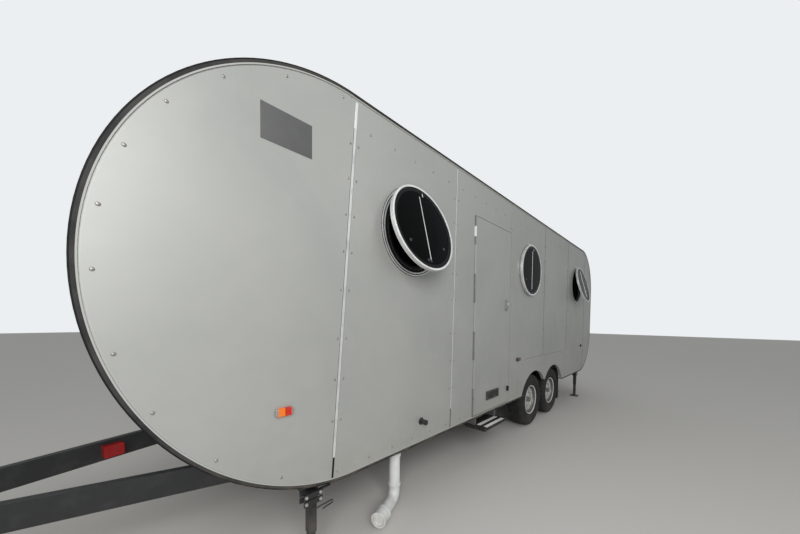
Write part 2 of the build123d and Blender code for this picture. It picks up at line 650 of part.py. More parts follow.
# Lock plate with a flush handle, and the small catch near the foot of the door.
with BuildPart() as door_lock:
    with BuildSketch(side_plane(HALF_WIDTH + LOCK_PLATE_DEPTH)):
        with Locations((DOOR_REAR_X + LOCK_FROM_REAR_EDGE, BODY_BOTTOM + LOCK_RISE)):
            RectangleRounded(LOCK_WIDTH, LOCK_TALL, LOCK_CORNER)
    extrude(amount=LOCK_PLATE_DEPTH)
    with BuildSketch(side_plane(HALF_WIDTH + LOCK_PLATE_DEPTH + LOCK_HANDLE_DEPTH)):
        with Locations((DOOR_REAR_X + LOCK_FROM_REAR_EDGE, BODY_BOTTOM + LOCK_RISE - LOCK_PLATE_DEPTH)):
            RectangleRounded(LOCK_WIDTH / 2, LOCK_TALL * 2 / 3, LOCK_CORNER / 2)
    extrude(amount=LOCK_HANDLE_DEPTH)
    with BuildSketch(side_plane(HALF_WIDTH + CATCH_DEPTH)):
        with Locations((DOOR_REAR_X + CATCH_FROM_REAR_EDGE, BODY_BOTTOM + CATCH_RISE)):
            RectangleRounded(2 * CATCH_DEPTH, CATCH_TALL, CATCH_CORNER)
    extrude(amount=CATCH_DEPTH)
write(door_lock.part, "door_lock")


# Wheels: tyre, rim with a row of round holes, hub and brake drum.
def wheel_plane(axle_x):
    """Plane through a wheel's axis for a profile to revolve: local x is Y, local y is Z."""
    return Plane(origin=(axle_x, 0, WHEEL_RADIUS), x_dir=(0, 1, 0), z_dir=(1, 0, 0))


def wheel_axis(axle_x):
    """The wheel's axis, along Y."""
    return Axis((axle_x, 0, WHEEL_RADIUS), (0, 1, 0))


def tyre(axle_x):
    """Tyre on the door side."""
    half = TYRE_WIDTH / 2
    bead = RIM_WIDTH / 2
    with BuildPart() as body:
        with BuildSketch(wheel_plane(axle_x)):
            with BuildLine():
                Polyline(
                    (TYRE_CENTRE - bead, RIM_BEAD_RADIUS),
                    (TYRE_CENTRE - bead, RIM_RADIUS + RIM_LIP),
                    (TYRE_CENTRE - half + RIM_LIP, RIM_RADIUS + BEAD_SHOULDER),
                    (TYRE_CENTRE - half, WHEEL_RADIUS - SIDEWALL_BULGE_DEPTH),
                    (TYRE_CENTRE - half + SHOULDER_BEVELS[0], WHEEL_RADIUS - SHOULDER_DROPS[0]),
                    (TYRE_CENTRE - half + SHOULDER_BEVELS[1], WHEEL_RADIUS - SHOULDER_DROPS[1]),
                    (TYRE_CENTRE - half + SHOULDER_BEVELS[2], WHEEL_RADIUS),
                    (TYRE_CENTRE + half - SHOULDER_BEVELS[2], WHEEL_RADIUS),
                    (TYRE_CENTRE + half - SHOULDER_BEVELS[1], WHEEL_RADIUS - SHOULDER_DROPS[1]),
                    (TYRE_CENTRE + half - SHOULDER_BEVELS[0], WHEEL_RADIUS - SHOULDER_DROPS[0]),
                    (TYRE_CENTRE + half, WHEEL_RADIUS - SIDEWALL_BULGE_DEPTH),
                    (TYRE_CENTRE + half - RIM_LIP, RIM_RADIUS + BEAD_SHOULDER),
                    (TYRE_CENTRE + bead, RIM_RADIUS + RIM_LIP),
                    (TYRE_CENTRE + bead, RIM_BEAD_RADIUS),
                    close=True,
                )
            make_face()
        revolve(axis=wheel_axis(axle_x))
    return body.part


DISC_FACE = TYRE_CENTRE + DISC_OFFSET
DRUM_FACE = DISC_FACE - RIM_DISC_THICKNESS


def rim(axle_x):
    """Rim on the door side with its disc, holes, hub cap, nuts and brake drum."""
    bead = RIM_WIDTH / 2
    with BuildPart() as body:
        with BuildSketch(wheel_plane(axle_x)):
            with BuildLine():
                Polyline(
                    (TYRE_CENTRE - bead - RIM_LIP, RIM_RADIUS),
                    (TYRE_CENTRE - bead - RIM_LIP, RIM_RADIUS - RIM_SHEET),
                    (TYRE_CENTRE - bead, RIM_BEAD_RADIUS - RIM_SHEET),
                    (TYRE_CENTRE - bead + RIM_WELL_SLOPE, RIM_BEAD_RADIUS - RIM_SHEET),
                    (TYRE_CENTRE - RIM_WELL_SLOPE, RIM_BEAD_RADIUS - RIM_SHEET - RIM_WELL_DEPTH),
                    (TYRE_CENTRE + RIM_WELL_SLOPE, RIM_BEAD_RADIUS - RIM_SHEET - RIM_WELL_DEPTH),
                    (TYRE_CENTRE + bead - RIM_WELL_SLOPE, RIM_BEAD_RADIUS - RIM_SHEET),
                    (TYRE_CENTRE + bead, RIM_BEAD_RADIUS - RIM_SHEET),
                    (TYRE_CENTRE + bead + RIM_LIP, RIM_RADIUS - RIM_SHEET),
                    (TYRE_CENTRE + bead + RIM_LIP, RIM_RADIUS),
                    (TYRE_CENTRE + bead, RIM_RADIUS),
                    (TYRE_CENTRE + bead, RIM_BEAD_RADIUS),
                    (TYRE_CENTRE - bead, RIM_BEAD_RADIUS),
                    (TYRE_CENTRE - bead, RIM_RADIUS),
                    close=True,
                )
            make_face()
            with BuildLine():
                Polyline(
                    (DRUM_FACE, HUB_NECK_RADIUS),
                    (DISC_FACE, HUB_NECK_RADIUS),
                    (DISC_FACE, DISC_FLAT_RADIUS),
                    (DISC_FACE + DISC_CROWN, DISC_CROWN_RADII[0]),
                    (DISC_FACE + DISC_CROWN, DISC_CROWN_RADII[1]),
                    (DISC_FACE - RIM_SHEET, DISC_EDGE_RADIUS),
                    (DRUM_FACE - RIM_SHEET, DISC_EDGE_RADIUS - RIM_SHEET),
                    (DRUM_FACE + DISC_CROWN, DISC_CROWN_RADII[1] - RIM_SHEET),
                    (DRUM_FACE + DISC_CROWN, DISC_CROWN_RADII[0] + RIM_SHEET),
                    (DRUM_FACE, DISC_FLAT_RADIUS + RIM_SHEET),
                    close=True,
                )
            make_face()
            with BuildLine():
                Polyline(
                    (DRUM_FACE - DRUM_DEPTH, STUB_RADIUS + STUB_CLEARANCE),
                    (DRUM_FACE - DRUM_DEPTH, HUB_RADIUS),
                    (DRUM_FACE - DRUM_WALL, HUB_RADIUS),
                    (DRUM_FACE - DRUM_WALL, DRUM_RADIUS - DRUM_WALL),
                    (DRUM_FACE - DRUM_DEPTH, DRUM_RADIUS - DRUM_WALL),
                    (DRUM_FACE - DRUM_DEPTH, DRUM_RADIUS),
                    (DRUM_FACE, DRUM_RADIUS),
                    (DRUM_FACE, HUB_NECK_RADIUS),
                    (DISC_FACE, HUB_NECK_RADIUS),
                    (DISC_FACE + HUB_CAP_REACH - HUB_CAP_BEVEL, HUB_NECK_RADIUS),
                    (DISC_FACE + HUB_CAP_REACH, HUB_NECK_RADIUS - 2 * HUB_CAP_BEVEL),
                    (DISC_FACE + HUB_CAP_REACH, 0),
                    (DISC_FACE + STUB_REACH + HUB_CAP_BEVEL, 0),
                    (DISC_FACE + STUB_REACH + HUB_CAP_BEVEL, STUB_RADIUS + STUB_CLEARANCE),
                    close=True,
                )
            make_face()
        revolve(axis=wheel_axis(axle_x))
        with BuildSketch(Plane(origin=(axle_x, DISC_FACE, WHEEL_RADIUS), x_dir=(1, 0, 0), z_dir=(0, 1, 0))):
            with PolarLocations(RIM_HOLE_CIRCLE_RADIUS, RIM_HOLES):
                Circle(RIM_HOLE_RADIUS)
        extrude(amount=2 * DISC_CROWN, mode=Mode.SUBTRACT)
        with BuildSketch(Plane(origin=(axle_x, DISC_FACE, WHEEL_RADIUS), x_dir=(1, 0, 0), z_dir=(0, 1, 0))):
            with PolarLocations(NUT_CIRCLE_RADIUS, WHEEL_NUTS):
                RegularPolygon(NUT_RADIUS, 6)
        extrude(amount=NUT_HEIGHT)
    return body.part


for number, axle_x in enumerate(AXLE_PLACES, start=1):
    tyre_left = tyre(axle_x)
    rim_left = rim(axle_x)
    write(tyre_left, f"tyre_left_{number}")
    write(rim_left, f"rim_left_{number}")
    write(mirror(tyre_left, about=Plane.XZ), f"tyre_right_{number}")
    write(mirror(rim_left, about=Plane.XZ), f"rim_right_{number}")

# Axles: square beams with stub ends and brake backplates.
with BuildPart() as axles:
    beam_end = DRUM_FACE - DRUM_DEPTH - 2 * BACKPLATE_THICKNESS
    for axle_x in AXLE_PLACES:
        beam_plane = Plane(origin=(axle_x, 0, WHEEL_RADIUS), x_dir=(1, 0, 0), z_dir=(0, 1, 0))
        with BuildSketch(beam_plane):
            Rectangle(AXLE_BEAM, AXLE_BEAM)
        extrude(amount=beam_end, both=True)
        with BuildSketch(beam_plane):
            Circle(STUB_RADIUS)
        extrude(amount=DISC_FACE + STUB_REACH, both=True)
        for side in (1, -1):
            plate_y = side * beam_end
            with BuildSketch(Plane(origin=(axle_x, plate_y, WHEEL_RADIUS), x_dir=(1, 0, 0), z_dir=(0, side, 0))):
                Circle(DRUM_RADIUS + BACKPLATE_THICKNESS)
            extrude(amount=BACKPLATE_THICKNESS)
write(axles.part, "axles")

# Leaf springs: stacks that bow down between their eyes and sit on the axle beams.
SPRING_SEAT = WHEEL_RADIUS + AXLE_BEAM / 2
EYE_HEIGHT = SPRING_SEAT + LEAF_COUNT * LEAF_THICKNESS + SPRING_SAG - LEAF_THICKNESS / 2
with BuildPart() as leaf_springs:
    for side in (1, -1):
        for axle_x in AXLE_PLACES:
            with BuildSketch(side_plane(side * RAIL_OFFSET + LEAF_WIDTH / 2)):
                for leaf in range(LEAF_COUNT):
                    reach = SPRING_SPAN / 2 * (1 - 0.2 * (LEAF_COUNT - 1 - leaf))
                    low = SPRING_SEAT + leaf * LEAF_THICKNESS
                    rise = SPRING_SAG * (2 * reach / SPRING_SPAN) ** 2
                    with BuildLine():
                        under = ThreePointArc(
                            (axle_x - reach, low + rise),
                            (axle_x, low),
                            (axle_x + reach, low + rise),
                        )
                        over = ThreePointArc(
                            (axle_x - reach, low + rise + LEAF_THICKNESS),
                            (axle_x, low + LEAF_THICKNESS),
                            (axle_x + reach, low + rise + LEAF_THICKNESS),
                        )
                        Line(under @ 0, over @ 0)
                        Line(under @ 1, over @ 1)
                    make_face()
                for end in (1, -1):
                    with Locations((axle_x + end * SPRING_SPAN / 2, EYE_HEIGHT)):
                        Circle(SPRING_EYE_RADIUS)
            extrude(amount=LEAF_WIDTH)
            with BuildSketch(Plane.XY.offset(SPRING_SEAT)):
                for end in (1, -1):
                    with Locations((axle_x + end * (AXLE_BEAM + U_BOLT_SIZE) / 2, side * RAIL_OFFSET)):
                        Rectangle(U_BOLT_SIZE, LEAF_WIDTH + U_BOLT_SIZE)
            extrude(amount=LEAF_COUNT * LEAF_THICKNESS + U_BOLT_SIZE / 2)
            with BuildSketch(Plane.XY.offset(SPRING_SEAT - AXLE_BEAM - U_BOLT_PLATE)):
                for end in (1, -1):
                    with Locations((axle_x + end * (AXLE_BEAM + U_BOLT_SIZE) / 2, side * RAIL_OFFSET)):
                        Rectangle(U_BOLT_SIZE, LEAF_WIDTH + U_BOLT_SIZE)
            extrude(amount=AXLE_BEAM + U_BOLT_PLATE)
            with BuildSketch(Plane.XY.offset(SPRING_SEAT - AXLE_BEAM - U_BOLT_PLATE)):
                with Locations((axle_x, side * RAIL_OFFSET)):
                    Rectangle(AXLE_BEAM + 3 * U_BOLT_SIZE, LEAF_WIDTH + U_BOLT_SIZE)
            extrude(amount=U_BOLT_PLATE)
write(leaf_springs.part, "leaf_springs")

# Spring hangers: pairs of plates under the rails, with the pins through the eyes.
RAIL_BOTTOM = FLOOR_UNDERSIDE - RAIL_HEIGHT
with BuildPart() as spring_hangers:
    hanger_tall = RAIL_BOTTOM - EYE_HEIGHT + 2 * SPRING_EYE_RADIUS
    eye_places = [axle_x + end * SPRING_SPAN / 2 for axle_x in AXLE_PLACES for end in (1, -1)]
    for side in (1, -1):
        for eye_x in eye_places:
            for face in (1, -1):
                outer = side * RAIL_OFFSET + face * (LEAF_WIDTH / 2 + HANGER_PLATE / 2 + PIN_CLEARANCE)
                with BuildSketch(side_plane(outer + HANGER_PLATE / 2)):
                    with Locations((eye_x, RAIL_BOTTOM)):
                        Rectangle(HANGER_LENGTH, hanger_tall, align=(Align.CENTER, Align.MAX))
                extrude(amount=HANGER_PLATE)
            with BuildSketch(side_plane(side * RAIL_OFFSET + LEAF_WIDTH / 2 + 2 * HANGER_PLATE)):
                with Locations((eye_x, EYE_HEIGHT)):
                    Circle(SPRING_EYE_RADIUS + HANGER_PLATE / 2)
            extrude(amount=HANGER_PLATE)
write(spring_hangers.part, "spring_hangers")

# Chassis rails and cross members.
RAIL_FRONT_X = ARC_X - RAIL_END_BEHIND_ARC
RAIL_REAR_X = REAR_ARC_X - RAIL_REAR_OVERHANG
with BuildPart() as chassis_rails:
    for side in (1, -1):
        with BuildSketch(cross_plane(RAIL_REAR_X)):
            with Locations((side * RAIL_OFFSET, FLOOR_UNDERSIDE)):
                Rectangle(RAIL_WIDTH, RAIL_HEIGHT, align=(Align.CENTER, Align.MAX))
        extrude(amount=RAIL_FRONT_X - RAIL_REAR_X)
write(chassis_rails.part, "chassis_rails")

inner_span = 2 * RAIL_OFFSET - RAIL_WIDTH
STEP_X = ARC_X - STEP_CENTRE_FROM_ARC
RUNNER_OFFSET = STEP_LENGTH / 2 - STEP_RUNNER_WIDTH - 10
NOSE_CROSS_X = ARC_X + NOSE_CROSS_FROM_ARC
STEP_RUNNER_PLACES = (STEP_X - RUNNER_OFFSET, STEP_X + RUNNER_OFFSET)
cross_places = [
    RAIL_REAR_X + CROSS_WIDTH / 2,
    STEADY_PLACES[1],
    REAR_AXLE_X - WHEEL_BOX_REACH - CROSS_CLEAR,
    AXLE_MID_X,
    FRONT_AXLE_X + WHEEL_BOX_REACH + CROSS_CLEAR,
    *STEP_RUNNER_PLACES,
    (STEP_X + RAIL_FRONT_X) / 2 + 2 * CROSS_CLEAR,
    RAIL_FRONT_X - CROSS_WIDTH / 2,
]
DRAWBAR_FRONT_X = TIP_X - DRAWBAR_END_SETBACK
SLOPE = (RAIL_OFFSET + RAIL_WIDTH / 2 - DRAWBAR_TIP_HALF_WIDTH) / (DRAWBAR_FRONT_X - RAIL_FRONT_X)
RAIL_SKEW = RAIL_WIDTH * math.hypot(1, SLOPE)


def rail_face(x):
    """Distance from the middle to the outer face of the chassis rails or the drawbar rails."""
    return RAIL_OFFSET + RAIL_WIDTH / 2 - max(x - RAIL_FRONT_X, 0) * SLOPE


with BuildPart() as cross_members:
    for x in cross_places:
        with BuildSketch(Plane.XY.offset(FLOOR_UNDERSIDE)):
            with Locations((x, 0)):
                Rectangle(CROSS_WIDTH, inner_span)
        extrude(amount=-CROSS_HEIGHT)
    with BuildSketch(Plane.XY.offset(FLOOR_UNDERSIDE)):
        back = NOSE_CROSS_X - CROSS_WIDTH / 2
        front = NOSE_CROSS_X + CROSS_WIDTH / 2
        with BuildLine():
            Polyline(
                (back, rail_face(back) - RAIL_SKEW),
                (front, rail_face(front) - RAIL_SKEW),
                (front, RAIL_SKEW - rail_face(front)),
                (back, RAIL_SKEW - rail_face(back)),
                close=True,
            )
        make_face()
    extrude(amount=-CROSS_HEIGHT)
    for x in (*STEADY_PLACES, *STEP_RUNNER_PLACES):
        back = x - CROSS_WIDTH / 2
        front = x + CROSS_WIDTH / 2
        for side in (1, -1):
            with BuildSketch(Plane.XY.offset(FLOOR_UNDERSIDE)):
                with BuildLine():
                    Polyline(
                        (back, side * rail_face(back)),
                        (front, side * rail_face(front)),
                        (front, side * OUTRIGGER_REACH),
                        (back, side * OUTRIGGER_REACH),
                        close=True,
                    )
                make_face()
            extrude(amount=-RAIL_HEIGHT)
write(cross_members.part, "cross_members")

# Drawbar: two rails that run together to the coupling plate.
with BuildPart() as drawbar:
    with BuildSketch(Plane.XY.offset(FLOOR_UNDERSIDE)):
        for side in (1, -1):
            with BuildLine():
                Polyline(
                    (RAIL_FRONT_X, side * rail_face(RAIL_FRONT_X)),
                    (DRAWBAR_FRONT_X, side * rail_face(DRAWBAR_FRONT_X)),
                    (DRAWBAR_FRONT_X, side * (rail_face(DRAWBAR_FRONT_X) - RAIL_SKEW)),
                    (RAIL_FRONT_X, side * (rail_face(RAIL_FRONT_X) - RAIL_SKEW)),
                    close=True,
                )
            make_face()
        plate_back = DRAWBAR_FRONT_X - DRAWBAR_PLATE_LENGTH
        near = rail_face(plate_back) - RAIL_SKEW / 2
        tip = rail_face(DRAWBAR_FRONT_X) - RAIL_SKEW / 2
        with BuildLine():
            Polyline(
                (plate_back, near),
                (DRAWBAR_FRONT_X, tip),
                (DRAWBAR_FRONT_X, -tip),
                (plate_back, -near),
                close=True,
            )
        make_face()
    extrude(amount=-RAIL_HEIGHT)
write(drawbar.part, "drawbar")

# Coupling: a box body on the drawbar, a rounded socket head and a latch handle.
SOCKET_X = TIP_X - COUPLING_SOCKET_BEHIND_TIP
SOCKET_Z = FLOOR_UNDERSIDE - 30.0
with BuildPart() as coupling:
    with BuildSketch(Plane.XY.offset(FLOOR_UNDERSIDE)):
        with BuildLine():
            Polyline(
                (TIP_X - COUPLING_LENGTH, -70),
                (TIP_X - COUPLING_LENGTH, 70),
                (SOCKET_X - 60, 55),
                (SOCKET_X, COUPLING_SOCKET_BEHIND_TIP),
                (SOCKET_X, -COUPLING_SOCKET_BEHIND_TIP),
                (SOCKET_X - 60, -55),
                close=True,
            )
        make_face()
        with Locations((SOCKET_X, 0)):
            Circle(COUPLING_SOCKET_BEHIND_TIP)
    extrude(amount=COUPLING_HEIGHT / 2)
    with BuildSketch(Plane.XY.offset(FLOOR_UNDERSIDE)):
        with Locations((SOCKET_X, 0)):
            Circle(COUPLING_SOCKET_BEHIND_TIP)
    extrude(amount=-55)
    with BuildSketch(Plane(origin=(SOCKET_X, 0, SOCKET_Z), x_dir=(1, 0, 0), z_dir=(0, -1, 0))):
        with BuildLine():
            CenterArc((0, 0), BALL_SOCKET_RADIUS, -90, 180)
            Line((0, -BALL_SOCKET_RADIUS), (0, BALL_SOCKET_RADIUS))
        make_face()
    revolve(axis=Axis((SOCKET_X, 0, SOCKET_Z), (0, 0, 1)), mode=Mode.SUBTRACT)
    with BuildSketch(Plane.XY.offset(SOCKET_Z)):
        with Locations((SOCKET_X, 0)):
            Circle(BALL_SOCKET_RADIUS)
    extrude(amount=-40, mode=Mode.SUBTRACT)
    with BuildSketch(side_plane(12)):
        with BuildLine():
            Polyline(
                (SOCKET_X - 190, FLOOR_UNDERSIDE + COUPLING_HEIGHT / 2),
                (SOCKET_X - 80, FLOOR_UNDERSIDE + COUPLING_HEIGHT / 2),
                (SOCKET_X - 60, FLOOR_UNDERSIDE + COUPLING_HEIGHT / 2 + 60),
                (SOCKET_X - 200, FLOOR_UNDERSIDE + COUPLING_HEIGHT / 2 + 84),
                (SOCKET_X - 200, FLOOR_UNDERSIDE + COUPLING_HEIGHT / 2 + 66),
                (SOCKET_X - 120, FLOOR_UNDERSIDE + COUPLING_HEIGHT / 2 + 48),
                close=True,
            )
        make_face()
    extrude(amount=24)
write(coupling.part, "coupling")

# Safety chain lugs under the front of the drawbar.
with BuildPart() as chain_lugs:
    for side in (1, -1):
        with BuildSketch(side_plane(side * 40 + SHACKLE_LUG_THICKNESS / 2)):
            with Locations((DRAWBAR_FRONT_X - 60, RAIL_BOTTOM)):
                Rectangle(60, 24, align=(Align.CENTER, Align.MAX))
            with Locations((DRAWBAR_FRONT_X - 60, RAIL_BOTTOM - 24)):
                Circle(30)
            with Locations((DRAWBAR_FRONT_X - 60, RAIL_BOTTOM + 30)):
                Rectangle(90, 30, mode=Mode.SUBTRACT)
            with Locations((DRAWBAR_FRONT_X - 60, RAIL_BOTTOM)):
                Rectangle(90, 40, align=(Align.CENTER, Align.MIN), mode=Mode.SUBTRACT)
            with Locations((DRAWBAR_FRONT_X - 60, RAIL_BOTTOM - 28)):
                Circle(SHACKLE_HOLE_RADIUS, mode=Mode.SUBTRACT)
        extrude(amount=SHACKLE_LUG_THICKNESS)
write(chain_lugs.part, "chain_lugs")

# Steady sleeves with crank handles, and the four legs.
LEG_HALF = STEADY_SLEEVE / 2 - STEADY_SLEEVE_WALL - STEADY_LEG_GAP
STEADY_SLEEVE_TOP = BODY_BOTTOM - STEADY_TOP_BELOW_BODY
SLEEVE_BOTTOM = STEADY_SLEEVE_TOP - STEADY_SLEEVE_LENGTH
with BuildPart() as steady_sleeves:
    for x in STEADY_PLACES:
        for side in (1, -1):
            with BuildSketch(Plane.XY.offset(SLEEVE_BOTTOM)):
                with Locations((x, side * STEADY_OFFSET)):
                    Rectangle(STEADY_SLEEVE, STEADY_SLEEVE)
                    Rectangle(
                        STEADY_SLEEVE - 2 * STEADY_SLEEVE_WALL,
                        STEADY_SLEEVE - 2 * STEADY_SLEEVE_WALL,
                        mode=Mode.SUBTRACT,
                    )
            extrude(amount=STEADY_SLEEVE_LENGTH)
            with BuildSketch(Plane.XY.offset(STEADY_SLEEVE_TOP - 5)):
                with Locations((x, side * STEADY_OFFSET)):
                    Rectangle(STEADY_SLEEVE, STEADY_SLEEVE)
            extrude(amount=5)
            with BuildSketch(cross_plane(x - STEADY_SLEEVE / 2)):
                with Locations((side * STEADY_OFFSET, STEADY_SLEEVE_TOP - 18)):
                    Circle(CRANK_RADIUS)
            extrude(amount=-CRANK_LENGTH)
write(steady_sleeves.part, "steady_sleeves")

STEADY_NAMES = ("front", "rear")
for name, x in zip(STEADY_NAMES, STEADY_PLACES):
    for side_name, side in (("left", 1), ("right", -1)):
        with BuildPart() as steady_leg:
            with BuildSketch(Plane.XY):
                with Locations((x, side * STEADY_OFFSET)):
                    RectangleRounded(FOOT_SIZE, FOOT_SIZE, 18)
            extrude(amount=FOOT_THICKNESS)
            with BuildSketch(Plane.XY.offset(FOOT_THICKNESS)):
                with Locations((x, side * STEADY_OFFSET)):
                    Rectangle(2 * LEG_HALF, 2 * LEG_HALF)
            extrude(amount=SLEEVE_BOTTOM + STEADY_OVERLAP - FOOT_THICKNESS)
        write(steady_leg.part, f"steady_leg_{name}_{side_name}")

# Jockey stand: clamp and outer tube, sliding inner tube, fork and wheel.
JOCKEY_X = TIP_X - JOCKEY_BEHIND_TIP
JOCKEY_Y = rail_face(JOCKEY_X) + JOCKEY_TUBE_RADIUS + 20
with BuildPart() as jockey_clamp:
    with BuildSketch(Plane.XY.offset(JOCKEY_TUBE_BOTTOM)):
        with Locations((JOCKEY_X, JOCKEY_Y)):
            Circle(JOCKEY_TUBE_RADIUS)
            Circle(JOCKEY_TUBE_RADIUS - JOCKEY_TUBE_WALL, mode=Mode.SUBTRACT)
    extrude(amount=JOCKEY_TUBE_TOP - JOCKEY_TUBE_BOTTOM)
    with BuildSketch(Plane.XY.offset(FLOOR_UNDERSIDE - RAIL_HEIGHT / 2 - 35)):
        with BuildLine():
            Polyline(
                (JOCKEY_X - 40, rail_face(JOCKEY_X - 40)),
                (JOCKEY_X + 40, rail_face(JOCKEY_X + 40)),
                (JOCKEY_X + 40, JOCKEY_Y + 20),
                (JOCKEY_X - 40, JOCKEY_Y + 20),
                close=True,
            )
        make_face()
        with Locations((JOCKEY_X, JOCKEY_Y)):
            Circle(JOCKEY_TUBE_RADIUS - JOCKEY_TUBE_WALL, mode=Mode.SUBTRACT)
    extrude(amount=70)
    with BuildSketch(Plane.XY.offset(JOCKEY_TUBE_TOP)):
        with Locations((JOCKEY_X, JOCKEY_Y)):
            Circle(JOCKEY_TUBE_RADIUS + 4)
    extrude(amount=26)
    with BuildSketch(Plane.XY.offset(JOCKEY_TUBE_TOP + 26)):
        with Locations((JOCKEY_X, JOCKEY_Y)):
            Circle(9)
        with Locations((JOCKEY_X - 70, JOCKEY_Y)):
            SlotOverall(160, 22)
    extrude(amount=14)
    with BuildSketch(Plane.XY.offset(JOCKEY_TUBE_TOP + 40)):
        with Locations((JOCKEY_X - 135, JOCKEY_Y)):
            Circle(13)
    extrude(amount=80)
write(jockey_clamp.part, "jockey_clamp")

LEG_RADIUS = JOCKEY_TUBE_RADIUS - JOCKEY_TUBE_WALL - PIN_CLEARANCE
FORK_TOP = 2 * JOCKEY_WHEEL_RADIUS + 26
with BuildPart() as jockey_leg:
    with BuildSketch(Plane.XY.offset(FORK_TOP + JOCKEY_SWIVEL_GAP)):
        with Locations((JOCKEY_X, JOCKEY_Y)):
            Circle(LEG_RADIUS)
    extrude(amount=JOCKEY_TUBE_TOP - JOCKEY_TRAVEL - 20 - FORK_TOP)
    with BuildSketch(Plane.XY.offset(FORK_TOP - 12)):
        with Locations((JOCKEY_X, JOCKEY_Y)):
            Circle(10)
    extrude(amount=14)
write(jockey_leg.part, "jockey_leg")

FORK_INNER = JOCKEY_WHEEL_WIDTH / 2 + JOCKEY_SIDE_GAP
JOCKEY_AXLE_X = JOCKEY_X - JOCKEY_TRAIL
with BuildPart() as jockey_fork:
    with BuildSketch(Plane.XY.offset(FORK_TOP - 14)):
        with Locations((JOCKEY_X - JOCKEY_TRAIL / 2, JOCKEY_Y)):
            RectangleRounded(JOCKEY_TRAIL + 60, 2 * (FORK_INNER + JOCKEY_FORK_PLATE), 8)
        with Locations((JOCKEY_X, JOCKEY_Y)):
            Circle(10 + PIN_CLEARANCE, mode=Mode.SUBTRACT)
    extrude(amount=14)
    for side in (1, -1):
        with BuildSketch(side_plane(JOCKEY_Y + (FORK_INNER + JOCKEY_FORK_PLATE if side > 0 else -FORK_INNER))):
            with BuildLine():
                Polyline(
                    (JOCKEY_X + 26, FORK_TOP - 14),
                    (JOCKEY_AXLE_X + 20, JOCKEY_WHEEL_RADIUS - 18),
                    (JOCKEY_AXLE_X - 20, JOCKEY_WHEEL_RADIUS - 18),
                    (JOCKEY_AXLE_X - 26, FORK_TOP - 14),
                    close=True,
                )
            make_face()
        extrude(amount=JOCKEY_FORK_PLATE)
    with BuildSketch(side_plane(JOCKEY_Y + FORK_INNER + JOCKEY_FORK_PLATE + 6)):
        with Locations((JOCKEY_AXLE_X, JOCKEY_WHEEL_RADIUS)):
            Circle(JOCKEY_AXLE_RADIUS)
    extrude(amount=2 * (FORK_INNER + JOCKEY_FORK_PLATE + 6))
write(jockey_fork.part, "jockey_fork")

with BuildPart() as jockey_wheel:
    with BuildSketch(Plane(origin=(JOCKEY_AXLE_X, JOCKEY_Y, JOCKEY_WHEEL_RADIUS), x_dir=(0, 1, 0), z_dir=(1, 0, 0))):
        half = JOCKEY_WHEEL_WIDTH / 2
        with BuildLine():
            Polyline(
                (-half, JOCKEY_AXLE_RADIUS + PIN_CLEARANCE),
                (-half, 30),
                (-half + 12, 36),
                (-half + 12, 66),
                (-half + 4, 72),
                (-half + 2, 90),
                (-half + 14, JOCKEY_WHEEL_RADIUS),
                (half - 14, JOCKEY_WHEEL_RADIUS),
                (half - 2, 90),
                (half - 4, 72),
                (half - 12, 66),
                (half - 12, 36),
                (half, 30),
                (half, JOCKEY_AXLE_RADIUS + PIN_CLEARANCE),
                close=True,
            )
        make_face()
    revolve(axis=Axis((JOCKEY_AXLE_X, JOCKEY_Y, JOCKEY_WHEEL_RADIUS), (0, 1, 0)))
write(jockey_wheel.part, "jockey_wheel")

# Entry step: two runners under the cross members and a sliding tread.
STEP_OUTER_EDGE = HALF_WIDTH + STEP_PROUD
TREAD_BOTTOM = STEP_TREAD_TOP - STEP_TREAD_THICKNESS
with BuildPart() as step_runners:
    for side in (1, -1):
        with BuildSketch(Plane.XY.offset(STEP_TREAD_TOP + STEP_SLIDE_GAP)):
            with Locations((STEP_X + side * RUNNER_OFFSET, OUTRIGGER_REACH)):
                Rectangle(STEP_RUNNER_WIDTH, STEP_RUNNER_LENGTH, align=(Align.CENTER, Align.MAX))
        extrude(amount=RAIL_BOTTOM - STEP_TREAD_TOP - STEP_SLIDE_GAP)
write(step_runners.part, "step_runners")

with BuildPart() as step_tread:
    with BuildSketch(Plane.XY.offset(TREAD_BOTTOM)):
        with Locations((STEP_X, STEP_OUTER_EDGE)):
            Rectangle(STEP_LENGTH, STEP_TREAD_DEPTH, align=(Align.CENTER, Align.MAX))
        for side in (1, -1):
            with Locations((STEP_X + side * RUNNER_OFFSET, STEP_OUTER_EDGE - STEP_TREAD_DEPTH)):
                Rectangle(STEP_RUNNER_WIDTH, STEP_TRAVEL - 20, align=(Align.CENTER, Align.MAX))
    extrude(amount=STEP_TREAD_THICKNESS)
    fillet(step_tread.edges().filter_by(Axis.Z).group_by(Axis.Y)[-1], radius=12)
write(step_tread.part, "step_tread")

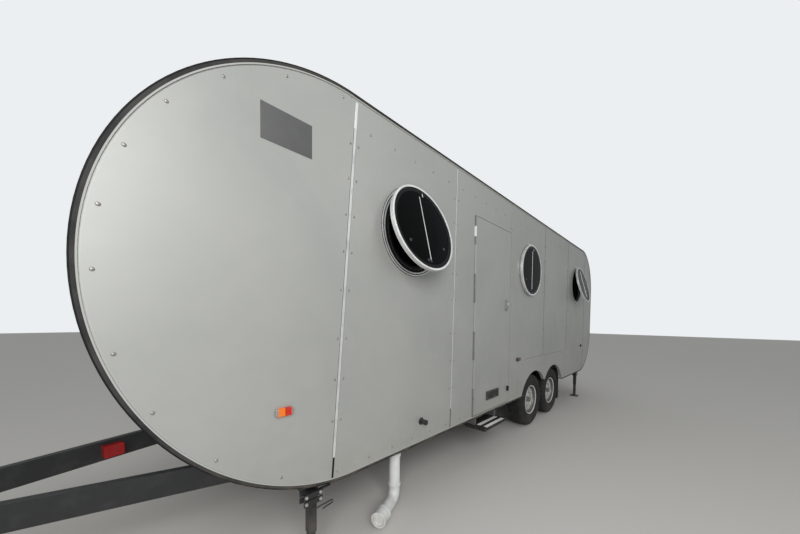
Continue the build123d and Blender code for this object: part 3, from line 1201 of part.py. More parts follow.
# Waste pipe: down from the floor, round an elbow and out to a socket just above the ground.
PIPE_X = ARC_X - PIPE_FROM_ARC
PIPE_OFFSET = HALF_WIDTH - PIPE_INSET
aim = math.radians(PIPE_OUTWARD_ANGLE)
ALONG = Vector(math.cos(aim), math.sin(aim), 0)
corner_point = Vector(PIPE_X, PIPE_OFFSET, PIPE_RUN_HEIGHT)
run_end = corner_point + ALONG * PIPE_RUN_LENGTH
with BuildPart() as waste_pipe:
    with BuildLine() as route:
        FilletPolyline((PIPE_X, PIPE_OFFSET, FLOOR_UNDERSIDE), corner_point, run_end, radius=PIPE_BEND_RADIUS)
    with BuildSketch(Plane(origin=(PIPE_X, PIPE_OFFSET, FLOOR_UNDERSIDE), z_dir=(0, 0, -1))):
        Circle(PIPE_RADIUS)
    sweep(path=route.line)
    with BuildSketch(Plane(origin=run_end - ALONG * 20, z_dir=ALONG)):
        Circle(PIPE_SOCKET_RADIUS)
    extrude(amount=PIPE_SOCKET_LENGTH)
    with BuildSketch(Plane(origin=(PIPE_X, PIPE_OFFSET, FLOOR_UNDERSIDE), z_dir=(0, 0, -1))):
        Circle(PIPE_RADIUS - PIPE_WALL)
    sweep(path=route.line, mode=Mode.SUBTRACT)
    with BuildSketch(Plane(origin=run_end + ALONG * (PIPE_SOCKET_LENGTH - 20 - PIPE_SOCKET_DEPTH), z_dir=ALONG)):
        Circle(PIPE_RADIUS + PIN_CLEARANCE)
    extrude(amount=PIPE_SOCKET_DEPTH, mode=Mode.SUBTRACT)
write(waste_pipe.part, "waste_pipe")

# Water inlet: a stepped spigot on the door side's wall.
inlet_point = (ARC_X - INLET_FROM_ARC, HALF_WIDTH, BODY_BOTTOM + INLET_RISE)
with BuildPart() as water_inlet:
    inlet_plane = Plane(inlet_point, x_dir=(1, 0, 0), z_dir=(0, 1, 0))
    with BuildSketch(inlet_plane):
        Circle(INLET_RADIUS + 8)
    extrude(amount=6)
    with BuildSketch(inlet_plane):
        Circle(INLET_RADIUS - 6)
    extrude(amount=INLET_REACH)
    with BuildSketch(inlet_plane.offset(INLET_REACH - 24)):
        Circle(INLET_RADIUS)
    extrude(amount=24)
write(water_inlet.part, "water_inlet")

# Side marker lamps: three on each side.
MARKER_XS = (
    ARC_X + MARKER_FRONT_FROM_ARC,
    ARC_X - MARKER_MIDDLE_FROM_ARC,
    REAR_ARC_X - MARKER_REAR_FROM_CORNER,
)
with BuildPart() as marker_lamps:
    for x in MARKER_XS:
        with BuildSketch(side_plane(HALF_WIDTH + MARKER_DEPTH)):
            with Locations((x, BODY_BOTTOM + MARKER_RISE)):
                RectangleRounded(MARKER_LENGTH, MARKER_TALL, 10)
        extrude(amount=MARKER_DEPTH)
    fillet(marker_lamps.edges().filter_by(Plane.XZ).group_by(Axis.Y)[-1], radius=6)
    mirror(about=Plane.XZ)
write(marker_lamps.part, "marker_lamps")

# Rear bumper on two arms, with the tail lamps on its back face.
BUMPER_X = REAR_X + BUMPER_INSET
BUMPER_BOTTOM = BODY_BOTTOM - BUMPER_DROP
with BuildPart() as rear_bumper:
    with BuildSketch(cross_plane(BUMPER_X)):
        with Locations((0, BUMPER_BOTTOM)):
            Rectangle(BODY_WIDTH - 2 * BUMPER_END_INSET, BUMPER_HEIGHT, align=(Align.CENTER, Align.MIN))
    extrude(amount=BUMPER_DEPTH)
    for side in (1, -1):
        with BuildSketch(cross_plane(BUMPER_X + BUMPER_DEPTH)):
            with Locations((side * RAIL_OFFSET, BUMPER_BOTTOM)):
                Rectangle(RAIL_WIDTH, FLOOR_UNDERSIDE - BUMPER_BOTTOM, align=(Align.CENTER, Align.MIN))
        extrude(amount=RAIL_REAR_X - BUMPER_X - BUMPER_DEPTH)
write(rear_bumper.part, "rear_bumper")

with BuildPart() as tail_lamps:
    for side in (1, -1):
        with BuildSketch(cross_plane(BUMPER_X)):
            with Locations((side * (HALF_WIDTH - TAIL_LAMP_INSET), BUMPER_BOTTOM + BUMPER_HEIGHT / 2)):
                RectangleRounded(TAIL_LAMP_LENGTH, TAIL_LAMP_HEIGHT, 14)
        extrude(amount=-TAIL_LAMP_DEPTH)
    fillet(tail_lamps.edges().filter_by(Plane.YZ).group_by(Axis.X)[0], radius=8)
write(tail_lamps.part, "tail_lamps")

# Lamp and its bracket on the inner face of the far drawbar rail.
lamp_x = ARC_X + DRAWBAR_LAMP_FROM_ARC
lamp_face = RAIL_SKEW - rail_face(lamp_x)
lamp_turn = math.atan(SLOPE)
lamp_plane = Plane(
    origin=(lamp_x, lamp_face, FLOOR_UNDERSIDE - RAIL_HEIGHT / 2),
    x_dir=(math.cos(lamp_turn), math.sin(lamp_turn), 0),
    z_dir=(-math.sin(lamp_turn), math.cos(lamp_turn), 0),
)
with BuildPart() as drawbar_lamp:
    with BuildSketch(lamp_plane):
        RectangleRounded(DRAWBAR_LAMP_LENGTH, DRAWBAR_LAMP_HEIGHT, 10)
    extrude(amount=DRAWBAR_LAMP_DEPTH)
write(drawbar_lamp.part, "drawbar_lamp")
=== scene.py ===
import json
import math

import bmesh
import bpy
from mathutils import Matrix, Vector


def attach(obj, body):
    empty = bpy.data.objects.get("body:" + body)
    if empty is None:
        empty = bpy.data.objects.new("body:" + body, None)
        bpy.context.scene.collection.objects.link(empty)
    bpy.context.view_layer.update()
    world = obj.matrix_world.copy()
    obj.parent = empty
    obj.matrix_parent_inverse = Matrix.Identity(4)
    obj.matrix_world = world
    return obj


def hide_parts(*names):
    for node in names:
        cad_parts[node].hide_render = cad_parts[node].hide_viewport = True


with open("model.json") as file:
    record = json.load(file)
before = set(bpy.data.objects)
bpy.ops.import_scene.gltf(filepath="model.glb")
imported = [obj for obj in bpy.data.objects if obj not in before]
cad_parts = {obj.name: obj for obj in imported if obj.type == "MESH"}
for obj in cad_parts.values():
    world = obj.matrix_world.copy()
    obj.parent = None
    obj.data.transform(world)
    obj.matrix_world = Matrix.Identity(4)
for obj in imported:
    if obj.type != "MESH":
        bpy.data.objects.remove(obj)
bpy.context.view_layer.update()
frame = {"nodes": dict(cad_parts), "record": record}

nodes = frame["nodes"]

# Sizes shared with the CAD, in metres.
# The body: coupling tip, bends, ends, walls and edge trim.
TIP_X = 4.671
ARC_X = 2.021
MID = 1.775
NOSE_R = 1.25
HALF = 1.2
INNER = 1.16
BOTTOM = 0.525
REAR_X = -4.659
REAR_ARC_X = -3.844
REAR_CORNER = 0.815
TRIM_PROUD = 0.012
TRIM_INSET = 0.014

# Wall sheets, counted from the nose.
NOSE_EDGE = 3.257
SHEET = 1.22
SEAMS = [NOSE_EDGE - SHEET * n for n in range(1, 7)]

# Portholes and the sashes hung over them.
PORT_X = [NOSE_EDGE - SHEET * n for n in (1.5, 3.5, 5.5)]
PORT_Z = MID + 0.49
RING_R = 0.345
FLANGE = 0.007
SASH_R = 0.345
SASH_ANGLES = (14.0, 0.0, 14.0)
SASH_GAP = 0.005
SASH_DEPTH = 0.03
SASH_RIM = 0.014
SASH_DROP = SASH_R + 0.011
HINGE_Z = PORT_Z + SASH_DROP
HINGE_Y = HALF + FLANGE + 0.007 + 0.001

# Wheels, and the wall's arches over them.
WHEEL_Z = 0.379
AXLES = (NOSE_EDGE - 4.565, NOSE_EDGE - 4.565 - 0.85)
TYRE_CENTRE = HALF - 0.03 - 0.1175
DISC_FACE = TYRE_CENTRE + 0.042
ARCHES = AXLES
ARCH_MID = (ARCHES[0] + ARCHES[1]) / 2
ARCH_Z = 0.293
ARCH_R = 0.53

# Door and step.
DOOR_REAR = NOSE_EDGE - 3 * SHEET
DOOR_FRONT = DOOR_REAR + 0.862
DOOR_TOP = 2.653
STEP_X = ARC_X - 1.985
STEP_TOP = 0.386
STEP_STRIP_HALF = 0.209

# Steadies, waste pipe and marker lamps.
STEADY_Y = 1.15
SLEEVE = 0.05
PIPE_X = ARC_X - 0.52
PIPE_Y = 1.082
PIPE_Z = 0.085
PIPE_TURN = math.radians(24.0)
PIPE_ALONG = Vector((math.cos(PIPE_TURN), math.sin(PIPE_TURN), 0))
MARKER_X = (ARC_X + 0.475, ARC_X - 2.7, REAR_ARC_X - 0.06)

# Camera at the photograph's viewing point, found by a fit to features of the photograph.
CAMERA_PLACE = Vector((3.1896, 2.785, 1.571))
CAMERA_YAW = math.radians(45.27)
CAMERA_PITCH = math.radians(-1.866)
CAMERA_ROLL = math.radians(0.522)
CAMERA_SENSOR = 36.0
CAMERA_LENS = 13.085
CAMERA_SHIFT = (0.00201, 0.077)
CAMERA_NEAR = 0.02


def camera_matrix():
    """Turns yaw, pitch and roll into the camera's own matrix."""
    look = Vector((
        -math.sin(CAMERA_YAW) * math.cos(CAMERA_PITCH),
        -math.cos(CAMERA_YAW) * math.cos(CAMERA_PITCH),
        math.sin(CAMERA_PITCH),
    ))
    right = look.cross(Vector((0, 0, 1))).normalized()
    up = right.cross(look)
    right_rolled = math.cos(CAMERA_ROLL) * right + math.sin(CAMERA_ROLL) * up
    up_rolled = -math.sin(CAMERA_ROLL) * right + math.cos(CAMERA_ROLL) * up
    turn = Matrix((right_rolled, up_rolled, -look)).transposed().to_4x4()
    return Matrix.Translation(CAMERA_PLACE) @ turn


camera_data = bpy.data.cameras.new("view")
camera_data.sensor_width = CAMERA_SENSOR
camera_data.lens = CAMERA_LENS
camera_data.shift_x, camera_data.shift_y = CAMERA_SHIFT
camera_data.clip_start = CAMERA_NEAR
camera = bpy.data.objects.new("view", camera_data)
camera.matrix_world = camera_matrix()
bpy.context.scene.collection.objects.link(camera)
bpy.context.scene.camera = camera


def srgb(r, g, b):
    """A screen colour as the linear colour that the shader takes."""
    def one(value):
        value /= 255
        return value / 12.92 if value <= 0.04045 else ((value + 0.055) / 1.055) ** 2.4
    return (one(r), one(g), one(b), 1.0)


# Floor, world and lamps.
SOFT_SKY = srgb(236, 239, 241)
SKY_LIGHT = 0.5
FLOOR_COLOUR = srgb(206, 203, 198)
FLOOR_REACH = 40.0
FLOOR_Z = -0.001
# Each lamp has its name, place, aim, size and power.
LAMPS = (
    ("key", (5.0, 5.4, 3.8), (2.5, 1.0, 1.9), 4.0, 260.0),
    ("side", (-2.5, 8.0, 6.0), (-2.0, 0.8, 1.4), 6.0, 30.0),
)


def make_stage():
    """Pale floor, plain pale sky and two soft lamps."""
    mesh = bpy.data.meshes.new("stage_floor")
    square = ((-1, -1), (1, -1), (1, 1), (-1, 1))
    corners = [(x * FLOOR_REACH, y * FLOOR_REACH, FLOOR_Z) for x, y in square]
    mesh.from_pydata(corners, [], [(0, 1, 2, 3)])
    floor = bpy.data.objects.new("stage_floor", mesh)
    bpy.context.scene.collection.objects.link(floor)
    material = bpy.data.materials.new("stage_floor")
    material.use_nodes = True
    shader = material.node_tree.nodes["Principled BSDF"]
    shader.inputs["Base Color"].default_value = FLOOR_COLOUR
    shader.inputs["Roughness"].default_value = 0.85
    mesh.materials.append(material)

    world = bpy.data.worlds.new("soft_sky")
    bpy.context.scene.world = world
    world.use_nodes = True
    tree = world.node_tree
    tree.nodes.clear()
    out = tree.nodes.new("ShaderNodeOutputWorld")
    back = tree.nodes.new("ShaderNodeBackground")
    back.inputs["Color"].default_value = SOFT_SKY
    back.inputs["Strength"].default_value = SKY_LIGHT
    seen = tree.nodes.new("ShaderNodeBackground")
    seen.inputs["Color"].default_value = SOFT_SKY
    seen.inputs["Strength"].default_value = 1.0
    path = tree.nodes.new("ShaderNodeLightPath")
    mix = tree.nodes.new("ShaderNodeMixShader")
    tree.links.new(path.outputs["Is Camera Ray"], mix.inputs["Fac"])
    tree.links.new(back.outputs[0], mix.inputs[1])
    tree.links.new(seen.outputs[0], mix.inputs[2])
    tree.links.new(mix.outputs[0], out.inputs["Surface"])

    for name, place, aim, size, power in LAMPS:
        light = bpy.data.lights.new(name, "AREA")
        light.shape = "DISK"
        light.size = size
        light.energy = power
        lamp = bpy.data.objects.new(name, light)
        lamp.location = place
        lamp.rotation_euler = (Vector(aim) - Vector(place)).to_track_quat("-Z", "Y").to_euler()
        bpy.context.scene.collection.objects.link(lamp)


make_stage()
bpy.context.scene.view_settings.view_transform = "Standard"


class Finish:
    """A procedural material that is built up in layers of colour, roughness and relief."""

    def __init__(self, name, colour, roughness, metallic=0.0, **sockets):
        self.material = bpy.data.materials.new(name)
        self.material.use_nodes = True
        self.tree = self.material.node_tree
        self.tree.nodes.clear()
        out = self.new("ShaderNodeOutputMaterial")
        self.shader = self.new("ShaderNodeBsdfPrincipled")
        self.link(self.shader.outputs[0], out.inputs["Surface"])
        self.set_input("Base Color", colour)
        self.set_input("Roughness", roughness)
        self.set_input("Metallic", metallic)
        for key, value in sockets.items():
            self.set_input(key.replace("_", " "), value)
        self.base = colour
        self.rough = roughness
        self.relief = None
        self.coords = self.new("ShaderNodeTexCoord")
        self.place = self.coords.outputs["Object"]

    def new(self, kind, **values):
        node = self.tree.nodes.new(kind)
        for key, value in values.items():
            setattr(node, key, value)
        return node

    def link(self, a, b):
        self.tree.links.new(a, b)

    def set_input(self, name, value):
        self.shader.inputs[name].default_value = value

    def math(self, operation, a, b=0.0, clamp=False):
        """One step of arithmetic on sockets or numbers."""
        node = self.new("ShaderNodeMath", operation=operation, use_clamp=clamp)
        for index, value in enumerate((a, b)):
            if isinstance(value, (int, float)):
                node.inputs[index].default_value = value
            else:
                self.link(value, node.inputs[index])
        return node.outputs[0]

    def axes(self, source=None):
        """X, Y and Z of the object's coordinates, or of another vector."""
        node = self.new("ShaderNodeSeparateXYZ")
        self.link(source or self.place, node.inputs[0])
        return node.outputs

    def stretched(self, stretch):
        """Object coordinates drawn out along an axis."""
        node = self.new("ShaderNodeMapping")
        node.inputs["Scale"].default_value = stretch
        self.link(self.place, node.inputs["Vector"])
        return node.outputs[0]

    def noise(self, scale, detail=3.0, roughness=0.55, stretch=None, distortion=0.0):
        node = self.new("ShaderNodeTexNoise")
        node.inputs["Scale"].default_value = scale
        node.inputs["Detail"].default_value = detail
        node.inputs["Roughness"].default_value = roughness
        node.inputs["Distortion"].default_value = distortion
        self.link(self.stretched(stretch) if stretch else self.place, node.inputs["Vector"])
        return node.outputs["Fac"]

    def cells(self, scale, output="Distance"):
        node = self.new("ShaderNodeTexVoronoi")
        node.inputs["Scale"].default_value = scale
        self.link(self.place, node.inputs["Vector"])
        return node.outputs[output]

    def band(self, source, low, high, out_low=0.0, out_high=1.0):
        """Maps a stretch of values smoothly onto 0 to 1, or onto another stretch."""
        node = self.new("ShaderNodeMapRange", interpolation_type="SMOOTHSTEP")
        node.inputs["From Min"].default_value = low
        node.inputs["From Max"].default_value = high
        node.inputs["To Min"].default_value = out_low
        node.inputs["To Max"].default_value = out_high
        self.link(source, node.inputs["Value"])
        return node.outputs["Result"]

    def both(self, *masks):
        """Where all the masks hold."""
        result = masks[0]
        for mask in masks[1:]:
            result = self.math("MULTIPLY", result, mask)
        return result

    def paint(self, colour, mask, amount=1.0):
        """Lays a colour over what is there, where the mask says."""
        node = self.new("ShaderNodeMix", data_type="RGBA")
        factor = self.math("MULTIPLY", mask, amount, clamp=True)
        self.link(factor, node.inputs["Factor"])
        slots = [s for s in node.inputs if s.type == "RGBA"]
        if isinstance(self.base, tuple):
            slots[0].default_value = self.base
        else:
            self.link(self.base, slots[0])
        slots[1].default_value = colour
        self.base = [s for s in node.outputs if s.type == "RGBA"][0]
        return self

    def dull(self, mask, amount):
        """Adds to the roughness where the mask says."""
        added = self.math("MULTIPLY", mask, amount)
        self.rough = self.math("ADD", added, self.rough, clamp=True)
        return self

    def raise_by(self, mask, height, strength=1.0):
        """Relief of a height in metres."""
        node = self.new("ShaderNodeBump")
        node.inputs["Distance"].default_value = height
        node.inputs["Strength"].default_value = strength
        self.link(mask, node.inputs["Height"])
        if self.relief is not None:
            self.link(self.relief, node.inputs["Normal"])
        self.relief = node.outputs["Normal"]
        return self

    def outline(self):
        """Distance outside the body's side outline, below zero inside it."""
        x, _, z = self.axes()
        rise = self.math("ABSOLUTE", self.math("SUBTRACT", z, MID))
        ahead = self.math("MAXIMUM", self.math("SUBTRACT", x, ARC_X), 0.0)
        behind = self.math("MAXIMUM", self.math("SUBTRACT", REAR_ARC_X, x), 0.0)
        corner = self.math("MAXIMUM", self.math("SUBTRACT", rise, NOSE_R - REAR_CORNER), 0.0)
        nose = self.math("SUBTRACT", self.reach(ahead, rise), NOSE_R)
        rear = self.math("SUBTRACT", self.reach(behind, corner), REAR_CORNER)
        return self.math("MAXIMUM", nose, rear)

    def reach(self, a, b):
        """Length of a line with two given legs."""
        squares = self.math("ADD", self.math("MULTIPLY", a, a), self.math("MULTIPLY", b, b))
        return self.math("SQRT", squares)

    def near(self, source, centre, half, soft):
        """1 within a distance of a value, 0 beyond it."""
        away = self.math("ABSOLUTE", self.math("SUBTRACT", source, centre))
        return self.band(away, half + soft, half)

    def worn_edges(self, colour, radius, amount):
        """Lighter or bare edges, broken up by noise."""
        bevel = self.new("ShaderNodeBevel", samples=4)
        bevel.inputs["Radius"].default_value = radius
        flat = self.new("ShaderNodeNewGeometry")
        dot = self.new("ShaderNodeVectorMath", operation="DOT_PRODUCT")
        self.link(bevel.outputs[0], dot.inputs[0])
        self.link(flat.outputs["Normal"], dot.inputs[1])
        edge = self.band(dot.outputs["Value"], 0.995, 0.86)
        broken = self.band(self.noise(60.0, 4.0), 0.42, 0.62)
        self.paint(colour, self.both(edge, broken), amount)
        return self

    def dust(self, colour, low, high, amount, scale=9.0):
        """Dust or mud that thins out from a low height to a high one."""
        height = self.band(self.axes()[2], high, low)
        patches = self.band(self.noise(scale, 5.0, 0.65), 0.3, 0.7)
        mask = self.both(height, patches)
        self.paint(colour, mask, amount)
        self.dull(mask, 0.25 * amount)
        return self

    def finish(self):
        """Links the layers to the shader and gives the material."""
        if not isinstance(self.base, tuple):
            self.link(self.base, self.shader.inputs["Base Color"])
        if not isinstance(self.rough, (int, float)):
            self.link(self.rough, self.shader.inputs["Roughness"])
        if self.relief is not None:
            self.link(self.relief, self.shader.inputs["Normal"])
        return self.material


EARTH = srgb(120, 92, 66)
DUST = srgb(150, 140, 124)
WALL_SILVER = srgb(174, 175, 171)
LINING = srgb(196, 190, 178)


def wall_layers(f):
    """Satin silver skin: cloudy, softly wavy, faintly smeared and scratched, a little dusty low down."""
    f.paint(srgb(158, 160, 158), f.band(f.noise(0.8, 4.0, 0.6, distortion=0.7), 0.38, 0.72), 0.45)
    f.paint(srgb(183, 183, 179), f.band(f.noise(2.1, 5.0, 0.62), 0.46, 0.78), 0.4)
    smears = f.both(
        f.band(f.noise(1.0, 5.0, 0.6, stretch=(3.5, 3.5, 1.2)), 0.5, 0.74),
        f.band(f.noise(0.9, 2.0), 0.42, 0.66),
    )
    f.paint(srgb(150, 150, 144), smears, 0.32)
    f.dull(smears, 0.1)
    scratches = f.both(
        f.band(f.noise(1.0, 2.0, stretch=(120, 120, 4.0), distortion=1.2), 0.71, 0.735),
        f.band(f.noise(1.7, 2.0), 0.6, 0.68),
    )
    f.paint(srgb(202, 202, 198), scratches, 0.4)
    specks = f.both(f.band(f.cells(30.0), 0.05, 0.02), f.band(f.noise(2.2, 2.0), 0.55, 0.65))
    f.paint(srgb(112, 108, 98), specks, 0.45)
    f.dust(DUST, 0.5, 0.86, 0.22)
    f.dull(f.noise(11.0, 4.0), 0.06)
    f.raise_by(f.noise(1.3, 1.0), 0.004, 0.22)
    f.raise_by(f.noise(9.0, 2.0), 0.0004, 0.25)
    f.raise_by(f.noise(420.0, 2.0), 0.00005, 0.4)


def wall_side_finish():
    f = Finish("wall_side", WALL_SILVER, 0.42, 0.3, Coat_Weight=0.1, Coat_Roughness=0.3)
    wall_layers(f)
    edge = f.band(f.outline(), -TRIM_INSET - 0.012, -TRIM_INSET - 0.002)
    f.paint(srgb(196, 196, 192), edge, 0.35)
    inside = f.band(f.math("ABSOLUTE", f.axes()[1]), INNER + 0.006, INNER + 0.003)
    f.paint(LINING, inside)
    f.dull(inside, 0.3)
    return f.finish()


def shell_finish():
    f = Finish("wall_shell", WALL_SILVER, 0.55, 0.12)
    wall_layers(f)
    inside = f.band(f.outline(), -0.01, -0.03)
    f.paint(LINING, inside)
    f.dull(inside, 0.3)
    return f.finish()


def trim_finish():
    """Dark edge angle with a paler band along the middle of its face, a painted highlight broken up by
    noise.
    """
    f = Finish("dark_trim", srgb(17, 17, 18), 0.55, 0.0, Specular_IOR_Level=0.2)
    f.paint(srgb(34, 33, 33), f.band(f.noise(24.0, 4.0), 0.4, 0.75), 0.5)
    # The paler band along the middle of the face is a painted highlight; the worn mask below only breaks
    # it up with noise.
    middle = f.near(f.outline(), (TRIM_PROUD - TRIM_INSET) / 2, 0.005, 0.003)
    worn = f.band(f.noise(6.0, 4.0), 0.3, 0.6, 0.4, 1.0)
    f.paint(srgb(74, 73, 71), f.both(middle, worn), 0.7)
    f.paint(WALL_SILVER, f.band(f.outline(), 0.0065 - TRIM_INSET, 0.0055 - TRIM_INSET))
    f.dust(DUST, 0.45, 1.0, 0.25)
    f.dull(f.noise(50.0), 0.15)
    f.raise_by(f.noise(180.0, 2.0), 0.0003, 0.5)
    return f.finish()


PLANK_WIDTH = 0.19


def floor_finish():
    """Floor boards inside, dark from below."""
    f = Finish("floor_board", srgb(128, 112, 94), 0.55)
    planks = f.noise(1.0, 4.0, stretch=(2.0, 40.0, 1.0))
    f.paint(srgb(104, 86, 68), f.band(planks, 0.35, 0.7), 0.7)
    normal = f.axes(f.coords.outputs["Normal"])
    under = f.band(normal[2], 0.2, -0.2)
    f.paint(srgb(42, 40, 38), under)
    strips = f.math("FRACT", f.math("MULTIPLY", f.axes()[1], 1 / PLANK_WIDTH))
    joint = f.band(f.math("ABSOLUTE", f.math("SUBTRACT", strips, 0.5)), 0.485, 0.495)
    f.paint(srgb(60, 48, 38), joint, 0.7)
    f.dull(planks, 0.1)
    f.raise_by(joint, -0.0006)
    return f.finish()


def chassis_finish():
    """Black chassis paint over steel: uneven gloss, stone chips, worn edges and dust low down."""
    f = Finish("chassis_black", srgb(34, 35, 37), 0.4, 0.0)
    f.paint(srgb(62, 63, 64), f.band(f.noise(7.0, 5.0, 0.6), 0.45, 0.78), 0.45)
    f.worn_edges(srgb(104, 100, 96), 0.003, 0.5)
    chips = f.both(f.band(f.cells(55.0), 0.07, 0.03), f.band(f.noise(4.0, 3.0), 0.52, 0.62))
    f.paint(srgb(98, 62, 40), chips, 0.35)
    f.dust(DUST, 0.1, 0.55, 0.25, 7.0)
    f.dull(f.noise(30.0, 4.0), 0.22)
    f.raise_by(f.noise(240.0, 3.0), 0.0002, 0.5)
    f.raise_by(f.noise(16.0, 3.0), 0.0008, 0.35)
    return f.finish()


def galvanised_finish():
    f = Finish("galvanised", srgb(150, 152, 152), 0.42, 0.75)
    tone = f.band(f.axes(f.cells(90.0, "Color"))[0], 0.1, 0.9)
    f.paint(srgb(118, 121, 122), tone, 0.6)
    f.worn_edges(srgb(190, 190, 188), 0.003, 0.5)
    f.dust(EARTH, 0.0, 0.6, 0.6)
    f.dull(tone, 0.15)
    f.raise_by(f.noise(300.0), 0.0001, 0.5)
    return f.finish()


def spring_finish():
    f = Finish("spring_steel", srgb(58, 54, 50), 0.55, 0.5)
    f.paint(srgb(104, 70, 46), f.band(f.noise(22.0, 5.0), 0.45, 0.7), 0.6)
    f.worn_edges(srgb(120, 110, 100), 0.002, 0.5)
    f.dust(EARTH, 0.1, 0.7, 0.5)
    f.raise_by(f.noise(160.0), 0.0004, 0.6)
    return f.finish()


def rubber_finish(name="tyre_rubber", base=(28, 28, 28), dirt=0.2):
    """Road rubber: greyed, with pale dust on the walls and in the grooves."""
    f = Finish(name, srgb(*base), 0.74)
    f.paint(srgb(50, 50, 49), f.band(f.noise(13.0, 5.0, 0.65), 0.4, 0.72), 0.55)
    f.paint(srgb(96, 90, 82), f.band(f.noise(5.0, 5.0, 0.7), 0.54, 0.8), dirt)
    f.dust(srgb(112, 102, 88), 0.0, 0.28, 0.35)
    f.dull(f.noise(40.0), 0.15)
    f.raise_by(f.noise(150.0, 4.0), 0.0005, 0.6)
    return f.finish()


def wheel_silver_finish():
    f = Finish("wheel_silver", srgb(214, 214, 212), 0.3, 0.35)
    f.paint(srgb(176, 172, 166), f.band(f.noise(16.0, 5.0), 0.42, 0.75), 0.45)
    f.worn_edges(srgb(110, 96, 84), 0.003, 0.5)
    f.dust(srgb(140, 122, 100), 0.0, 0.55, 0.35)
    specks = f.band(f.cells(120.0), 0.12, 0.05)
    f.paint(srgb(86, 74, 64), specks, 0.35)
    f.dull(f.noise(30.0), 0.2)
    f.raise_by(f.noise(300.0), 0.0001, 0.5)
    # Painted shade: a dark ring in the rim's well and a softer one round the nut circle; the middle
    # round the hub is painted darker too.
    x, _, z = f.axes()
    rise = f.math("SUBTRACT", z, WHEEL_Z)
    ahead = f.math("ABSOLUTE", f.math("SUBTRACT", x, (AXLES[0] + AXLES[1]) / 2))
    reach = f.reach(f.math("SUBTRACT", ahead, (AXLES[0] - AXLES[1]) / 2), rise)
    f.paint(srgb(78, 77, 75), f.near(reach, 0.184, 0.012, 0.004), 0.8)
    f.paint(srgb(120, 118, 114), f.near(reach, 0.104, 0.008, 0.006), 0.6)
    f.paint(srgb(70, 70, 69), f.band(reach, 0.044, 0.036), 0.75)
    return f.finish()


def bright_finish(name="bright_alloy", colour=(222, 223, 222), rough=0.26, metallic=0.45):
    """Bright rolled or spun alloy with fine scratches and dull marks."""
    f = Finish(name, srgb(*colour), rough, metallic)
    f.paint(srgb(158, 161, 163), f.band(f.noise(9.0, 5.0), 0.45, 0.75), 0.45)
    fine = f.noise(1.0, 3.0, stretch=(260, 260, 6))
    f.paint(srgb(226, 228, 229), f.band(fine, 0.55, 0.75), 0.3)
    f.dull(f.band(f.noise(26.0, 4.0), 0.4, 0.7), 0.16)
    f.raise_by(fine, 0.00005, 0.5)
    return f.finish()


def glass_finish():
    """Near-black tinted glass with faint smears."""
    f = Finish(
        "tinted_glass", srgb(22, 24, 28), 0.04, Transmission_Weight=0.9, IOR=1.14, Specular_IOR_Level=0.2
    )
    smear = f.band(f.noise(6.0, 5.0), 0.52, 0.78)
    f.dull(smear, 0.08)
    f.paint(srgb(34, 37, 42), smear, 0.4)
    f.raise_by(f.noise(3.0, 1.0), 0.001, 0.2)
    return f.finish()


def plain_metal(name, colour, rough, metallic, spot):
    """Small fittings: a metal with uneven tone, worn edges and a little dirt."""
    f = Finish(name, srgb(*colour), rough, metallic)
    f.paint(srgb(*spot), f.band(f.noise(45.0, 4.0), 0.42, 0.74), 0.5)
    f.worn_edges(srgb(200, 200, 198), 0.0015, 0.5)
    f.dull(f.noise(90.0), 0.2)
    f.raise_by(f.noise(500.0), 0.00008, 0.5)
    return f.finish()


def lock_finish():
    """Satin plate close to the wall's tone, and black low down, on the catch near the door's foot."""
    f = Finish("lock_grey", srgb(150, 151, 149), 0.36, 0.2)
    f.paint(srgb(134, 134, 132), f.band(f.noise(45.0, 4.0), 0.42, 0.74), 0.5)
    f.worn_edges(srgb(196, 196, 194), 0.0012, 0.3)
    f.paint(srgb(28, 28, 29), f.band(f.axes()[2], 1.01, 0.99))
    f.dull(f.noise(90.0), 0.2)
    f.raise_by(f.noise(500.0), 0.00008, 0.5)
    return f.finish()


def hinge_finish():
    """Door hinge painted like the wall, dirty in its joint, with a painted highlight on one knuckle near
    the top.
    """
    f = Finish("hinge_steel", srgb(134, 134, 132), 0.42, 0.2)
    f.paint(srgb(104, 103, 100), f.band(f.noise(14.0, 4.0), 0.42, 0.7), 0.5)
    z = f.axes()[2]
    # Painted highlight: a near-white band on one knuckle near the top.
    f.paint(srgb(232, 232, 228), f.near(z, 2.49, 0.05, 0.004), 0.95)
    f.worn_edges(srgb(150, 150, 148), 0.001, 0.3)
    f.dull(f.noise(90.0), 0.15)
    f.raise_by(f.noise(500.0), 0.00008, 0.5)
    return f.finish()


def plastic(name, colour, rough=0.45, spot=None, dust=0.35, grain=0.0002, **sockets):
    """Moulded plastic: fine grain, tone patches and dust."""
    f = Finish(name, srgb(*colour), rough, **sockets)
    pale = tuple(min(255, int(c * 1.25) + 14) for c in colour)
    f.paint(srgb(*(spot or pale)), f.band(f.noise(18.0, 5.0), 0.4, 0.75), 0.5)
    f.dust(DUST, 0.1, 1.2, dust)
    f.dull(f.noise(60.0), 0.15)
    f.raise_by(f.noise(600.0, 2.0), grain, 0.5)
    return f.finish()


def pipe_finish():
    f = Finish("pipe_white", srgb(222, 223, 220), 0.38)
    f.paint(srgb(196, 196, 190), f.band(f.noise(8.0, 5.0), 0.4, 0.72), 0.6)
    streak = f.band(f.noise(1.0, 4.0, stretch=(45, 45, 3)), 0.5, 0.7)
    f.paint(srgb(168, 164, 152), streak, 0.3)
    f.dust(DUST, 0.0, 0.2, 0.35, 14.0)
    f.dull(f.noise(40.0), 0.15)
    f.raise_by(f.noise(200.0), 0.0001, 0.4)
    return f.finish()


